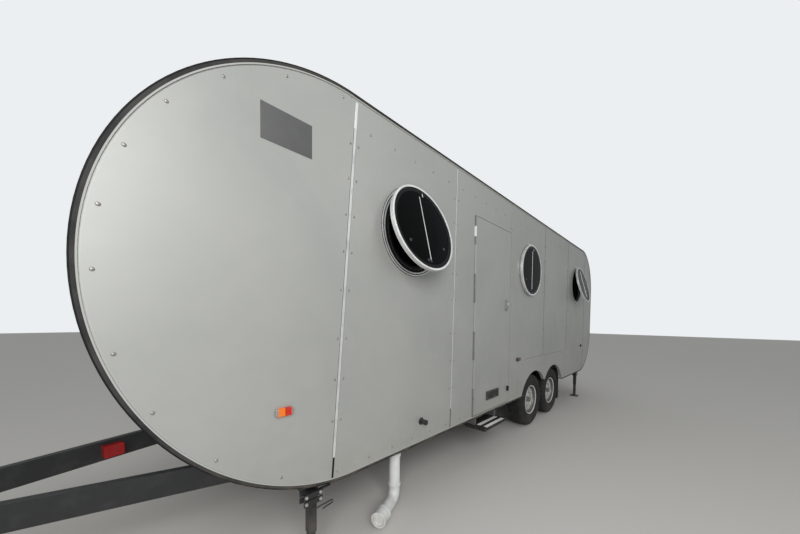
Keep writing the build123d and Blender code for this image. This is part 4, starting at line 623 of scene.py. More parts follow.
def lens(name, colour, parts, axis):
    """Moulded lamp lens with fine ribs; other colours fill the given stretches along an axis."""
    f = Finish(
        name, srgb(*colour), 0.16, Coat_Weight=0.5, Coat_Roughness=0.08, Subsurface_Weight=0.15
    )
    places = f.axes()
    for shade, centre, half in parts:
        f.paint(srgb(*shade), f.near(places[axis], centre, half, 0.0006))
    lift = tuple(min(255, int(c * 1.2) + 22) for c in colour)
    f.paint(srgb(*lift), f.band(f.noise(120.0, 2.0), 0.5, 0.8), 0.2)
    ribs = f.math("SINE", f.math("MULTIPLY", places[2], 1100.0))
    f.raise_by(ribs, 0.0006, 0.5)
    f.dull(f.noise(60.0), 0.12)
    return f.finish()


def step_finish():
    """Black coated step tread, scuffed and sandy."""
    f = Finish("step_black", srgb(34, 33, 33), 0.5, 0.1)
    f.paint(srgb(70, 66, 62), f.band(f.noise(11.0, 5.0), 0.42, 0.72), 0.5)
    f.worn_edges(srgb(150, 148, 144), 0.003, 0.6)
    f.paint(srgb(120, 104, 86), f.band(f.noise(30.0, 5.0), 0.56, 0.74), 0.4)
    f.dull(f.noise(50.0), 0.25)
    f.raise_by(f.noise(260.0), 0.0003, 0.6)
    return f.finish()


# Other colours in the lenses: colour, middle and half width, along Y at the tail and X at the sides.
TAIL_PARTS = [
    (colour, side * y, half)
    for colour, y, half in (((240, 118, 20), 0.945, 0.062), ((214, 212, 206), 0.66, 0.028))
    for side in (1, -1)
]
MARKER_PARTS = [((196, 20, 16), MARKER_X[0] - 0.02, 0.019)]
MARKER_PARTS += [((140, 140, 138), MARKER_X[0] + side * 0.046, 0.008) for side in (1, -1)]
MARKER_PARTS += [((22, 21, 21), x, 0.052) for x in MARKER_X[1:]]
MARKER_PARTS += [((112, 20, 14), x, 0.017) for x in MARKER_X[1:]]

finishes = {
    "wall_skin": wall_side_finish(),
    "dark_trim": trim_finish(),
    "floor_board": floor_finish(),
    "chassis_black": chassis_finish(),
    "galvanised": galvanised_finish(),
    "spring_steel": spring_finish(),
    "tyre_rubber": rubber_finish(),
    "wheel_silver": wheel_silver_finish(),
    "bright_alloy": bright_finish(),
    "tinted_glass": glass_finish(),
    "hinge_steel": hinge_finish(),
    "lock_grey": lock_finish(),
    "vent_grey": plastic("vent_grey", (58, 58, 57), 0.5),
    "flap_rubber": rubber_finish("flap_rubber", (32, 32, 32), 0.3),
    "pipe_white": pipe_finish(),
    "inlet_black": plastic("inlet_black", (24, 24, 25), 0.38),
    "lamp_amber": lens("lamp_amber", (244, 122, 20), MARKER_PARTS, 0),
    "lamp_red": lens("lamp_red", (150, 14, 15), TAIL_PARTS, 1),
    "step_alloy": step_finish(),
}
shell_skin = shell_finish()
screw_steel = plain_metal("screw_steel", (158, 156, 150), 0.3, 0.6, (104, 102, 98))
bolt_steel = plain_metal("bolt_steel", (200, 200, 196), 0.28, 0.7, (140, 134, 124))
cover_alloy = bright_finish("cover_alloy", (222, 223, 221), 0.3)
strip_alloy = bright_finish("strip_alloy", (236, 236, 233), 0.36, 0.3)
bead_bright = bright_finish("bead_bright", (240, 241, 240), 0.28, 0.3)
seal_black = plastic("seal_black", (16, 16, 17), 0.6, dust=0.05, Specular_IOR_Level=0.2)
frit_black = plastic(
    "frit_black", (10, 10, 11), 0.2, (16, 16, 18), 0.0, 0.00002, Specular_IOR_Level=0.2
)
screen_black = plastic("screen_black", (6, 6, 7), 0.9, (10, 10, 11), 0.0, Specular_IOR_Level=0.05)
catch_grey = plastic("catch_grey", (44, 46, 48), 0.35, dust=0.0)
tab_white = plastic("tab_white", (214, 214, 210), 0.4, dust=0.05)
plate_dark = plastic("plate_dark", (90, 90, 90), 0.42, (84, 84, 85), 0.1)
grip_black = plastic("grip_black", (26, 26, 27), 0.5, dust=0.2)
pipe_skin = finishes["pipe_white"]

for entry in frame["record"]["subparts"]:
    node = nodes[entry["node"]]
    finish = finishes[entry["material_slot"]]
    if entry["node"] in ("nose_shell", "roof", "rear_shell"):
        finish = shell_skin
    if not node.data.materials:
        node.data.materials.append(finish)
    for slot in node.material_slots:
        slot.material = finish


# Mesh tools.
SIDES = ((1, "left"), (-1, "right"))
UP = (0, 0, 1)


def piece(name, body, bm, material, sharp=35.0):
    """Turns a mesh into a named piece on a body. Edges that turn by more than the angle stay hard."""
    mesh = bpy.data.meshes.new(name)
    bmesh.ops.recalc_face_normals(bm, faces=bm.faces)
    limit = math.radians(sharp)
    for edge in bm.edges:
        if len(edge.link_faces) == 2:
            edge.smooth = edge.calc_face_angle(0.0) < limit
    for face in bm.faces:
        face.smooth = True
    bm.to_mesh(mesh)
    bm.free()
    thing = bpy.data.objects.new(name, mesh)
    bpy.context.scene.collection.objects.link(thing)
    mesh.materials.append(material)
    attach(thing, body)
    return thing


def upright(normal):
    """Turn that takes Z onto a direction."""
    return Vector(normal).to_track_quat("Z", "Y").to_matrix().to_4x4()


def ring_points(radius, height, steps):
    """Points round Z at a height."""
    turns = [2 * math.pi * i / steps for i in range(steps)]
    return [Vector((radius * math.cos(turn), radius * math.sin(turn), height)) for turn in turns]


def join_rings(bm, low, high):
    """Faces between two rings of points. A ring of one point is a tip."""
    steps = max(len(low), len(high))
    for i in range(steps):
        j = (i + 1) % steps
        if len(low) == 1:
            bm.faces.new((low[0], high[j], high[i]))
        elif len(high) == 1:
            bm.faces.new((low[i], low[j], high[0]))
        else:
            bm.faces.new((low[i], low[j], high[j], high[i]))


def add_lathe(bm, profile, place, normal, steps, close=False):
    """Turns a profile of (radius, height) pairs round an axis through a place."""
    stand = Matrix.Translation(place) @ upright(normal)
    rings = []
    for radius, height in profile:
        points = ring_points(radius, height, steps) if radius > 0 else [Vector((0, 0, height))]
        rings.append([bm.verts.new(stand @ point) for point in points])
    for low, high in zip(rings, rings[1:]):
        join_rings(bm, low, high)
    if close:
        join_rings(bm, rings[-1], rings[0])


def add_block(bm, low, high, bevel=0.0, turn=None, place=(0, 0, 0)):
    """A block between two corners, bevelled if wanted, then turned and moved to a place."""
    made = bmesh.ops.create_cube(bm, size=1.0)["verts"]
    bmesh.ops.scale(bm, verts=made, vec=Vector(high) - Vector(low))
    bmesh.ops.translate(bm, verts=made, vec=(Vector(low) + Vector(high)) / 2)
    if bevel > 0:
        edges = list(dict.fromkeys(e for v in made for e in v.link_edges))
        made = bmesh.ops.bevel(
            bm, geom=edges, offset=bevel, segments=2, affect="EDGES", profile=0.6
        )["verts"]
    if turn is not None:
        for vert in set(made):
            vert.co = turn @ vert.co + Vector(place)


TUBE_STEPS = 10


def add_tube(bm, points, radius):
    """A round bar with closed ends through a list of points."""
    rings = []
    for index, point in enumerate(points):
        before = points[max(index - 1, 0)]
        after = points[min(index + 1, len(points) - 1)]
        turn = upright((after - before).normalized()).to_3x3()
        offsets = ring_points(radius, 0, TUBE_STEPS)
        rings.append([bm.verts.new(point + turn @ offset) for offset in offsets])
    for low, high in zip(rings, rings[1:]):
        join_rings(bm, low, high)
    bm.faces.new(rings[0])
    bm.faces.new(rings[-1])


# The first two seams lean, as in the photograph: by how much, and where they stand at the top.
SEAM_LEANS = (0.0755, 0.0258)
SEAM_TOPS = (-0.042, -0.005)
SEAM_TOP_Z = 2.986


def seam_x(number, z):
    """Place of a seam at a height."""
    if number >= len(SEAM_LEANS):
        return SEAMS[number]
    return SEAMS[number] + SEAM_TOPS[number] + SEAM_LEANS[number] * (SEAM_TOP_Z - z)


# Screws: round the nose, in pairs beside each seam, in rows along the top and the foot of the wall,
# round the rear corners and over the wheel arches.
SCREW_PROFILE = ((0.0085, 0.0), (0.0083, 0.0014), (0.0066, 0.0031), (0.0036, 0.0040), (0.0, 0.0042))
SCREW_INSET = 0.05
SCREW_CLEAR = 0.02
DOOR_CLEAR = 0.03
NOSE_ANGLES = (51, 36, 23, 10.5, -1.3, -17, -30.5, -48, -66, -84, 68, 86)
REAR_ANGLES = (12, 34, 56, 78)
PAIR_HEIGHTS = (0.936, 0.706, 0.470, 0.230, -0.018, -0.333, -0.594, -0.860)
PAIR_HALF = 0.032
ROW_START = ARC_X - 0.142
ROW_PITCH = 0.2325
ROW_SEAM_GAP = 0.05
ROW_ARCH_SIDE = 0.66
TOP_ROW = MID + 1.06
FOOT_ROW = BOTTOM + 0.06
ARCH_SCREWS = (
    (ARCHES[1] - 0.56, 0.86),
    (ARCHES[1] - 0.2, 0.98),
    (ARCH_MID, 0.98),
    (ARCHES[0] + 0.2, 0.98),
    (ARCHES[0] + 0.56, 0.86),
)


def screw_places(with_door):
    """The places (x, z) of one wall's screws, clear of the portholes, the arches and the door."""
    places = []
    reach = NOSE_R - SCREW_INSET
    for angle in NOSE_ANGLES:
        turn = math.radians(angle)
        places.append((ARC_X + reach * math.cos(turn), MID + reach * math.sin(turn)))
    for number in range(len(SEAMS)):
        for rise in PAIR_HEIGHTS:
            for shift in (PAIR_HALF, -PAIR_HALF):
                places.append((seam_x(number, MID + rise) + shift, MID + rise))
    x = ROW_START
    while x > REAR_ARC_X:
        if min(abs(x - seam) for seam in SEAMS) > ROW_SEAM_GAP:
            places.append((x, TOP_ROW))
            if not ARCHES[1] - ROW_ARCH_SIDE < x < ARCHES[0] + ROW_ARCH_SIDE:
                places.append((x, FOOT_ROW))
        x -= ROW_PITCH
    reach = REAR_CORNER - SCREW_INSET
    for angle in REAR_ANGLES:
        turn = math.radians(angle)
        for sign in (1, -1):
            centre = MID + sign * (NOSE_R - REAR_CORNER)
            places.append((REAR_ARC_X - reach * math.sin(turn), centre + sign * reach * math.cos(turn)))
    places += ARCH_SCREWS

    def is_clear(x, z):
        by_port = min(math.hypot(x - port, z - PORT_Z) for port in PORT_X) < RING_R + SCREW_CLEAR
        by_arch = min(math.hypot(x - arch, z - ARCH_Z) for arch in ARCHES) < ARCH_R + SCREW_CLEAR
        along_door = DOOR_REAR - SCREW_CLEAR < x < DOOR_FRONT + DOOR_CLEAR
        by_door = with_door and along_door and z < DOOR_TOP + DOOR_CLEAR
        return not (by_port or by_arch or by_door)

    return [(x, z) for x, z in places if is_clear(x, z)]


for side, side_name in SIDES:
    bm = bmesh.new()
    for x, z in screw_places(side > 0):
        add_lathe(bm, SCREW_PROFILE, Vector((x, side * HALF, z)), (0, side, 0), 10)
    piece(f"wall_screws_{side_name}", "van", bm, screw_steel)


# Seams: fillers in the upright gaps of the first two, leaning strips over these, and dark joints
# under the strips' feet and in the other seams.
# Each strip has its seam, width, low end, high end and height above the wall.
SEAM_FOOT = BOTTOM + 0.004
SEAM_HEAD = 2.995
FIRST_FOOT = 0.68
FIRST_HEAD = 2.82
SECOND_FOOT = 0.72
ABOVE_ARCHES = 1.04
COVER_STRIPS = ((0, 0.021, FIRST_FOOT, FIRST_HEAD, 0.003), (1, 0.012, SECOND_FOOT, SEAM_HEAD, 0.0024))
HEAD_STRIPS = ((0, 0.019, FIRST_HEAD, SEAM_HEAD, 0.0012),)
DARK_STRIPS = (
    (0, 0.025, FIRST_FOOT, FIRST_HEAD, 0.0009),
    (0, 0.015, SEAM_FOOT, FIRST_FOOT, 0.0009),
    (1, 0.0145, SECOND_FOOT, SEAM_HEAD, 0.0008),
    (1, 0.010, SEAM_FOOT, SECOND_FOOT, 0.0008),
    (3, 0.006, ABOVE_ARCHES, SEAM_HEAD, 0.0007),
    (4, 0.006, ABOVE_ARCHES, SEAM_HEAD, 0.0007),
    (5, 0.006, 0.56, SEAM_HEAD, 0.0007),
)
STRIP_BASE = 0.0001
STRIP_FACES = ((0, 1, 5, 4), (1, 2, 6, 5), (2, 3, 7, 6), (3, 0, 4, 7), (0, 1, 2, 3), (4, 5, 6, 7))
# Depths are measured from the wall's face.
FILLER_HALF = 0.003
FILLER_DEPTHS = (-0.01, 0.0002)
FILLER_FOOT = 0.535
JOINT_HALF = 0.0014
JOINT_DEPTHS = (-0.006, -0.0012)
JOINT_FOOT = 0.55
JOINT_HEAD = 3.0
JOINT_ARCH_SIDE = 0.7
DOOR_SEAM = 2
ABOVE_DOOR = DOOR_TOP + 0.01


def add_strip(bm, side, number, width, low, high, proud):
    """A thin strip with sloped edges along a seam between two heights."""
    corners = []
    for z in (low, high):
        middle = seam_x(number, z)
        for shift, out in ((-0.5, STRIP_BASE), (-0.42, proud), (0.42, proud), (0.5, STRIP_BASE)):
            corners.append(bm.verts.new((middle + shift * width, side * (HALF + out), z)))
    for face in STRIP_FACES:
        bm.faces.new([corners[k] for k in face])


def add_joint(bm, side, x, half, depths, low, high):
    """An upright block in a seam's gap."""
    near, far = sorted(side * (HALF + depth) for depth in depths)
    add_block(bm, (x - half, near, low), (x + half, far, high))


for side, side_name in SIDES:
    bm = bmesh.new()
    for x in SEAMS[:2]:
        add_joint(bm, side, x, FILLER_HALF, FILLER_DEPTHS, FILLER_FOOT, SEAM_HEAD)
    piece(f"seam_fillers_{side_name}", "van", bm, finishes["wall_skin"])
    bright = (("covers", COVER_STRIPS, cover_alloy), ("heads", HEAD_STRIPS, strip_alloy))
    for kind, strips, material in bright:
        bm = bmesh.new()
        for strip in strips:
            add_strip(bm, side, *strip)
        piece(f"seam_{kind}_{side_name}", "van", bm, material)
    bm = bmesh.new()
    for strip in DARK_STRIPS:
        add_strip(bm, side, *strip)
    for number in range(2, len(SEAMS)):
        if side > 0 and number == DOOR_SEAM:
            low = ABOVE_DOOR
        elif ARCHES[1] - JOINT_ARCH_SIDE < SEAMS[number] < ARCHES[0] + JOINT_ARCH_SIDE:
            low = ABOVE_ARCHES
        else:
            low = JOINT_FOOT
        add_joint(bm, side, SEAMS[number], JOINT_HALF, JOINT_DEPTHS, low, JOINT_HEAD)
    piece(f"seam_sealant_{side_name}", "van", bm, seal_black)


# Flat joint strips across the roof, over the ends of the side sheets, each with two rows of rivets.
ROOF_TOP = MID + NOSE_R
ROOF_STRIP_HALF = 0.018
ROOF_STRIP_THICK = 0.0012
RIVET_PROFILE = ((0.0, 0.001), (0.0052, 0.001), (0.0045, 0.0026), (0.0, 0.0032))
RIVET_ROWS = (-0.010, 0.010)
RIVET_INSET = 0.04
RIVETS_EACH_WAY = 7

bm = bmesh.new()
for seam in SEAMS[:5]:
    x = min(seam, ARC_X - 0.02)
    add_block(
        bm,
        (x - ROOF_STRIP_HALF, -INNER, ROOF_TOP),
        (x + ROOF_STRIP_HALF, INNER, ROOF_TOP + ROOF_STRIP_THICK),
        0.0004,
    )
    for step in range(2 * RIVETS_EACH_WAY + 1):
        y = -INNER + RIVET_INSET + step * (INNER - RIVET_INSET) / RIVETS_EACH_WAY
        for shift in RIVET_ROWS:
            add_lathe(bm, RIVET_PROFILE, Vector((x + shift, y, ROOF_TOP)), UP, 8)
piece("roof_joints", "van", bm, shell_skin)


# Blank dark plate high on the nose sheet.
PLATE_X = (ARC_X + 0.30, ARC_X + 0.59)
PLATE_Z = (MID + 0.725, MID + 0.915)
PLATE_THICK = 0.002

bm = bmesh.new()
add_block(bm, (PLATE_X[0], HALF, PLATE_Z[0]), (PLATE_X[1], HALF + PLATE_THICK, PLATE_Z[1]), 0.0008)
piece("nose_plate", "van", bm, plate_dark)


# Portholes: seals and liner of the fixed ring, fly screen, and what each sash carries.
SEAL_R = RING_R - 0.001
SEAL_PROFILE = ((SEAL_R, 0.0), (SEAL_R + 0.0045, 0.0), (SEAL_R + 0.003, 0.002), (SEAL_R, 0.0028))
RING_SEALS = ((0.289, 0.316), (0.3275, 0.335))
LINER_PROFILE = (
    (0.262, -0.008), (0.2875, -0.008), (0.2875, 0.0), (0.280, 0.0035), (0.268, 0.0035), (0.262, 0.0),
)
SCREEN_PROFILE = ((0.0, 0.0), (0.286, 0.0), (0.286, 0.002), (0.0, 0.002))
SCREEN_PLACE = INNER + 0.004
RING_STEPS = 72

SASH_FRONT = HALF + FLANGE + SASH_GAP - HINGE_Y + SASH_DEPTH
GLASS_LOW = SASH_FRONT - 0.013
GLASS_TOP = GLASS_LOW + 0.006
BEAD_PROFILE = [
    (
        SASH_R - SASH_RIM / 2 + (SASH_RIM / 2 + 0.001) * math.cos(turn),
        SASH_FRONT - 0.001 + 0.0019 * math.sin(turn),
    )
    for turn in [math.radians(18 * step) for step in range(11)]
]
BORDER_R = SASH_R - SASH_RIM - 0.0004
BORDER_PROFILE = ((0.300, 0.0), (BORDER_R, 0.0), (BORDER_R, 0.001), (0.300, 0.0005))
BAR_HALF = 0.262
BAR_R = 0.0032
BAR_OUT = GLASS_TOP + 0.002
CATCHES = ((0.0, 0.272), (0.03, 0.268), (-0.2, 0.14), (0.2, 0.14))
CATCH_INSIDE = ((0.0, 0.0), (0.013, 0.0), (0.015, 0.003), (0.015, 0.008), (0.0, 0.009))
CATCH_OUTSIDE = ((0.013, 0.0), (0.012, 0.003), (0.007, 0.0045), (0.0, 0.005))
CATCH_STEPS = 20
TAB_HALF = Vector((0.004, 0.001, 0.014))
TAB_PLACE = (-0.045, -0.288, GLASS_TOP + 0.001)


def dress_rings(side, side_name):
    """Seals, liners and fly screens of one wall's portholes."""
    outward = (0, side, 0)
    seals, liners, screens = bmesh.new(), bmesh.new(), bmesh.new()
    for x in PORT_X:
        wall = Vector((x, side * HALF, PORT_Z))
        face = Vector((x, side * (HALF + FLANGE), PORT_Z))
        add_lathe(seals, SEAL_PROFILE, wall, outward, RING_STEPS, True)
        for low, high in RING_SEALS:
            profile = ((low, 0.0), (high, 0.0), (high - 0.001, 0.0014), (low + 0.001, 0.0014))
            add_lathe(seals, profile, face, outward, RING_STEPS, True)
        add_lathe(liners, LINER_PROFILE, wall, outward, RING_STEPS, True)
        add_lathe(screens, SCREEN_PROFILE, Vector((x, side * SCREEN_PLACE, PORT_Z)), outward, 48)
    piece(f"porthole_seals_{side_name}", "van", seals, seal_black)
    piece(f"porthole_liners_{side_name}", "van", liners, seal_black)
    piece(f"porthole_screens_{side_name}", "van", screens, screen_black)


def dress_sash(side, side_name, number):
    """Bead, glass border, bar, catches and tab of one sash."""
    label = f"{side_name}_{number + 1}"
    body = f"sash_{label}"
    turn = math.radians(SASH_ANGLES[number])
    normal = Vector((0, side * math.cos(turn), math.sin(turn)))

    def at(u, down, out):
        """A place on the sash: along X and down from its middle, and out from its hinge."""
        drop = SASH_DROP + down
        y = HINGE_Y + drop * math.sin(turn) + out * math.cos(turn)
        z = HINGE_Z - drop * math.cos(turn) + out * math.sin(turn)
        return Vector((PORT_X[number] + u, side * y, z))

    bm = bmesh.new()
    add_lathe(bm, BEAD_PROFILE, at(0, 0, 0), normal, 96, True)
    piece(f"sash_bead_{label}", body, bm, bead_bright)
    bm = bmesh.new()
    add_lathe(bm, BORDER_PROFILE, at(0, 0, GLASS_TOP), normal, RING_STEPS, True)
    piece(f"sash_border_{label}", body, bm, frit_black)
    bm = bmesh.new()
    add_tube(bm, [at(0, down, BAR_OUT) for down in (-BAR_HALF, BAR_HALF)], BAR_R)
    piece(f"sash_bar_{label}", body, bm, cover_alloy)
    bm = bmesh.new()
    for u, down in CATCHES:
        add_lathe(bm, CATCH_INSIDE, at(u, down, GLASS_LOW - 0.009), normal, CATCH_STEPS)
        add_lathe(bm, CATCH_OUTSIDE, at(u, down, GLASS_TOP), normal, CATCH_STEPS)
    piece(f"sash_catches_{label}", body, bm, catch_grey)
    bm = bmesh.new()
    tilt = Matrix.Rotation(side * turn, 3, "X")
    add_block(bm, -TAB_HALF, TAB_HALF, 0.0004, tilt, at(*TAB_PLACE))
    piece(f"sash_tab_{label}", body, bm, tab_white)


for side, side_name in SIDES:
    dress_rings(side, side_name)
    for number in range(len(PORT_X)):
        dress_sash(side, side_name, number)


# Tyres: the CAD section with tread grooves, shoulder lugs and rings pressed into the side walls.
TYRE_WALL = (
    (0.089, 0.203), (0.089, 0.224), (0.0965, 0.231), (0.1085, 0.245), (0.1112, 0.2597),
    (0.1092, 0.261), (0.1120, 0.276), (0.1142, 0.2772), (0.1175, 0.294), (0.1172, 0.3005),
    (0.1150, 0.3020), (0.1122, 0.3290), (0.1136, 0.3300), (0.1125, 0.341),
)
TREAD = (
    (0.1098, 0.345), (0.1015, 0.3578), (0.0935, 0.370), (0.0790, 0.3747), (0.0655, 0.379),
    (0.0510, 0.379), (0.0495, 0.3725), (0.0415, 0.3725), (0.0400, 0.379), (0.0055, 0.379),
    (0.0040, 0.3725),
)
TYRE_STEPS = 160
LUG_DEPTH = 0.0055
LUG_SIDE = 0.05
LUG_EVERY = 5

# Valve and rings on each wheel's disc.
VALVE_X = 0.176
VALVE_R = 0.005
VALVE_FACE = DISC_FACE - 0.004
VALVE_BENDS = ((0, 0), (-0.008, 0.018), (-0.010, 0.034))
DISC_RINGS = (
    ((0.092, 0.0), (0.0945, 0.0012), (0.0945, 0.0022), (0.0920, 0.0012)),
    ((0.056, 0.0), (0.058, 0.002), (0.054, 0.002), (0.052, 0.0)),
)


def tyre_section():
    """Points of (offset, radius, cut by lugs) from one bead over the tread to the other."""
    half = [(y, r, False) for y, r in TYRE_WALL] + [(y, r, y > LUG_SIDE) for y, r in TREAD]
    return half + [(-y, r, lug) for y, r, lug in reversed(half)]


def dress_wheel(axle, number, side, side_name):
    """Tyre, valve and disc rings of one wheel."""
    label = f"{side_name}_{number}"
    body = f"wheel_{label}"
    bm = bmesh.new()
    rings = []
    for y, r, lug in tyre_section():
        ring = []
        for step in range(TYRE_STEPS):
            turn = 2 * math.pi * step / TYRE_STEPS
            shift = 2 if y < 0 else 0
            reach = r - LUG_DEPTH if lug and (step + shift) % LUG_EVERY == 2 else r
            x, z = axle + reach * math.cos(turn), WHEEL_Z + reach * math.sin(turn)
            ring.append(bm.verts.new((x, side * (TYRE_CENTRE + y), z)))
        rings.append(ring)
    for low, high in zip(rings, rings[1:] + rings[:1]):
        join_rings(bm, low, high)
    tyre = piece(f"road_tyre_{label}", body, bm, finishes["tyre_rubber"], 28.0)
    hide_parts(f"tyre_{side_name}_{number}")
    bm = bmesh.new()
    foot = Vector((axle + VALVE_X, side * VALVE_FACE, WHEEL_Z))
    add_tube(bm, [foot + Vector((back, side * out, 0)) for back, out in VALVE_BENDS], VALVE_R)
    piece(f"tyre_valve_{label}", body, bm, grip_black)
    bm = bmesh.new()
    for profile in DISC_RINGS:
        add_lathe(bm, profile, Vector((axle, side * DISC_FACE, WHEEL_Z)), (0, side, 0), 48, True)
    piece(f"disc_rings_{label}", body, bm, finishes["wheel_silver"])


for number, axle in enumerate(AXLES, 1):
    for side, side_name in SIDES:
        dress_wheel(axle, number, side, side_name)


# Door lock: barrel and key slot, on the lock plate.
LOCK_X = DOOR_REAR + 0.115
LOCK_FACE = HALF + 0.026
LOCK_Z = 1.764
BARREL_PROFILE = (
    (0.0, 0.0), (0.0155, 0.0), (0.0155, 0.004), (0.0145, 0.0055), (0.0095, 0.006), (0.009, 0.0045),
    (0.0, 0.0045),
)
SLOT_HALF_X = 0.0012
SLOT_HALF_Z = 0.006

bm = bmesh.new()
add_lathe(bm, BARREL_PROFILE, Vector((LOCK_X, LOCK_FACE, LOCK_Z)), (0, 1, 0), 28)
piece("door_lock_barrel", "door", bm, cover_alloy)
bm = bmesh.new()
add_block(
    bm,
    (LOCK_X - SLOT_HALF_X, LOCK_FACE + 0.0042, LOCK_Z - SLOT_HALF_Z),
    (LOCK_X + SLOT_HALF_X, LOCK_FACE + 0.0049, LOCK_Z + SLOT_HALF_Z),
    0.0002,
)
piece("door_lock_slot", "door", bm, seal_black)


# Bolts through the coupling: six-sided heads and washers.
COUPLING_BOLT = (
    (0.0, 0.0), (0.014, 0.0), (0.014, 0.0015), (0.0105, 0.002), (0.0105, 0.009), (0.0, 0.011),
)
COUPLING_BOLT_X = (TIP_X - 0.30, TIP_X - 0.235)
COUPLING_BOLT_Y = 0.042
COUPLING_BOLT_Z = 0.641
BOLT_SIDES = 6

bm = bmesh.new()
for x in COUPLING_BOLT_X:
    for side in (1, -1):
        place = Vector((x, side * COUPLING_BOLT_Y, COUPLING_BOLT_Z))
        add_lathe(bm, COUPLING_BOLT, place, UP, BOLT_SIDES)
piece("coupling_bolts", "van", bm, bolt_steel)


# Ribbed strips along the step.
STEP_STRIPS = ((1.131, 1.171), (1.214, 1.257))
STEP_STRIP_THICK = 0.0014
STEP_RIBS = 6
STEP_RIB_HALF = 0.0016
STEP_RIB_LOW = 0.001
STEP_RIB_TOP = 0.0032

bm = bmesh.new()
left, right = STEP_X - STEP_STRIP_HALF, STEP_X + STEP_STRIP_HALF
for low_y, high_y in STEP_STRIPS:
    add_block(bm, (left, low_y, STEP_TOP), (right, high_y, STEP_TOP + STEP_STRIP_THICK), 0.0004)
    for rib in range(STEP_RIBS):
        y = low_y + (rib + 0.5) * (high_y - low_y) / STEP_RIBS
        add_block(
            bm,
            (left, y - STEP_RIB_HALF, STEP_TOP + STEP_RIB_LOW),
            (right, y + STEP_RIB_HALF, STEP_TOP + STEP_RIB_TOP),
            0.0005,
        )
piece("step_strips", "step", bm, strip_alloy)


# Waste pipe: coupler bands on the drop, socket lips on the run, and a closed screw cap in the mouth.
PIPE_DROP = Vector((PIPE_X, PIPE_Y, 0))
PIPE_RUN = Vector((PIPE_X, PIPE_Y, PIPE_Z))
PIPE_STEPS = 32
# Each has its height on the drop or its reach along the run, and then what band_profile takes.
COUPLER_BANDS = (
    (0.185, (0.0445, 0.0445, 0.0515, 0.022, 0.003)),
    (0.43, (0.0445, 0.0445, 0.0515, 0.03, 0.003)),
)
SOCKET_LIPS = (
    (0.214, (0.046, 0.0535, 0.0575, 0.018, 0.002)),
    (0.311, (0.0555, 0.0535, 0.0585, 0.013, 0.002)),
)
CAP_PROFILE = ((0.0, 0.0), (0.0448, 0.0), (0.0448, 0.006), (0.040, 0.008), (0.038, 0.005), (0.0, 0.005))
CAP_REACH = 0.308
CAP_GRIP = ((-0.034, -0.004, 0.004), (0.034, 0.004, 0.013))


def band_profile(foot_inner, head_inner, outer, length, slope):
    """A band round the pipe, a millimetre less in radius at both edges."""
    edge = outer - 0.001
    return (
        (foot_inner, 0.0), (edge, 0.0), (outer, slope),
        (outer, length - slope), (edge, length), (head_inner, length),
    )


bm = bmesh.new()
for z, sizes in COUPLER_BANDS:
    add_lathe(bm, band_profile(*sizes), PIPE_DROP + Vector((0, 0, z)), UP, PIPE_STEPS, True)
for reach, sizes in SOCKET_LIPS:
    add_lathe(bm, band_profile(*sizes), PIPE_RUN + PIPE_ALONG * reach, PIPE_ALONG, PIPE_STEPS, True)
piece("pipe_bands", "van", bm, pipe_skin)
bm = bmesh.new()
mouth = PIPE_RUN + PIPE_ALONG * CAP_REACH
add_lathe(bm, CAP_PROFILE, mouth, PIPE_ALONG, PIPE_STEPS)
add_block(bm, *CAP_GRIP, 0.001, upright(PIPE_ALONG).to_3x3(), mouth)
piece("pipe_cap", "van", bm, pipe_skin)


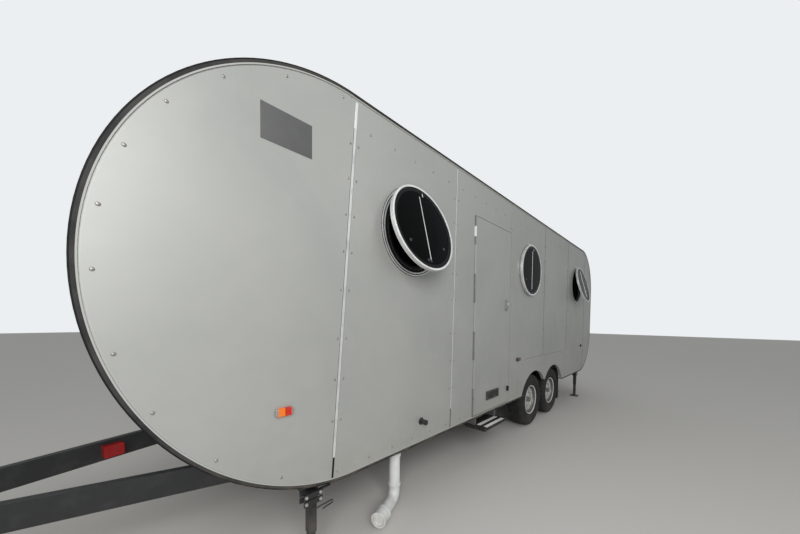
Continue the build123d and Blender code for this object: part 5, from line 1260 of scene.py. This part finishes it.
# Steadies: clamps round each sleeve, their bolts, and a thin crank folded up beside it.
STEADIES = (("front", 1, ARC_X + 0.28), ("rear", -1, REAR_X + 0.925))
CLAMP_HEIGHTS = (0.44, 0.482)
CLAMP_HALF_HEIGHT = 0.017
CLAMP_THIN = 0.004
CLAMP_OUT = SLEEVE / 2 + CLAMP_THIN
CLAMP_EAR = 0.062
CLAMP_SIDE = SLEEVE / 2 + 0.006
CLAMP_BARS = (
    (0, CLAMP_OUT, CLAMP_EAR, CLAMP_THIN),
    (0, -CLAMP_OUT, CLAMP_EAR, CLAMP_THIN),
    (CLAMP_OUT, 0, CLAMP_THIN, CLAMP_SIDE),
    (-CLAMP_OUT, 0, CLAMP_THIN, CLAMP_SIDE),
)
CLAMP_BOLT = ((0.0, 0.0), (0.011, 0.0), (0.011, 0.001), (0.0085, 0.0015), (0.0085, 0.0075), (0.0, 0.009))
CLAMP_BOLT_SHIFT = 0.048
CLAMP_FACE = STEADY_Y + SLEEVE / 2 + 0.008
CRANK_R = 0.0045
# Along X towards the body's middle, out from the sleeve, and height.
CRANK_PATH = (
    (0.0, 0.0, 0.395), (0.02, 0.012, 0.395), (0.045, 0.014, 0.398), (0.125, 0.014, 0.402),
    (0.134, 0.014, 0.394), (0.131, 0.014, 0.384), (0.06, 0.014, 0.372),
)


def dress_steady(x, ahead, side, label):
    """Clamps, bolts and crank of one steady."""
    bm = bmesh.new()
    y = side * STEADY_Y
    for z in CLAMP_HEIGHTS:
        for dx, dy, lx, ly in CLAMP_BARS:
            low = (x + dx - lx, y + dy - ly, z - CLAMP_HALF_HEIGHT)
            high = (x + dx + lx, y + dy + ly, z + CLAMP_HALF_HEIGHT)
            add_block(bm, low, high, 0.0015)
    piece(f"steady_clamp_{label}", "van", bm, finishes["chassis_black"])
    bm = bmesh.new()
    for z in reversed(CLAMP_HEIGHTS):
        for dx in (-CLAMP_BOLT_SHIFT, CLAMP_BOLT_SHIFT):
            place = Vector((x + dx, side * CLAMP_FACE, z))
            add_lathe(bm, CLAMP_BOLT, place, (0, side, 0), BOLT_SIDES)
    piece(f"steady_bolts_{label}", "van", bm, bolt_steel)
    bm = bmesh.new()
    crank = [
        Vector((x - ahead * back, side * (STEADY_Y + SLEEVE / 2 + out), z))
        for back, out, z in CRANK_PATH
    ]
    add_tube(bm, crank, CRANK_R)
    piece(f"steady_crank_{label}", "van", bm, finishes["chassis_black"])


for end, ahead, x in STEADIES:
    for side, side_name in SIDES:
        dress_steady(x, ahead, side, f"{end}_{side_name}")
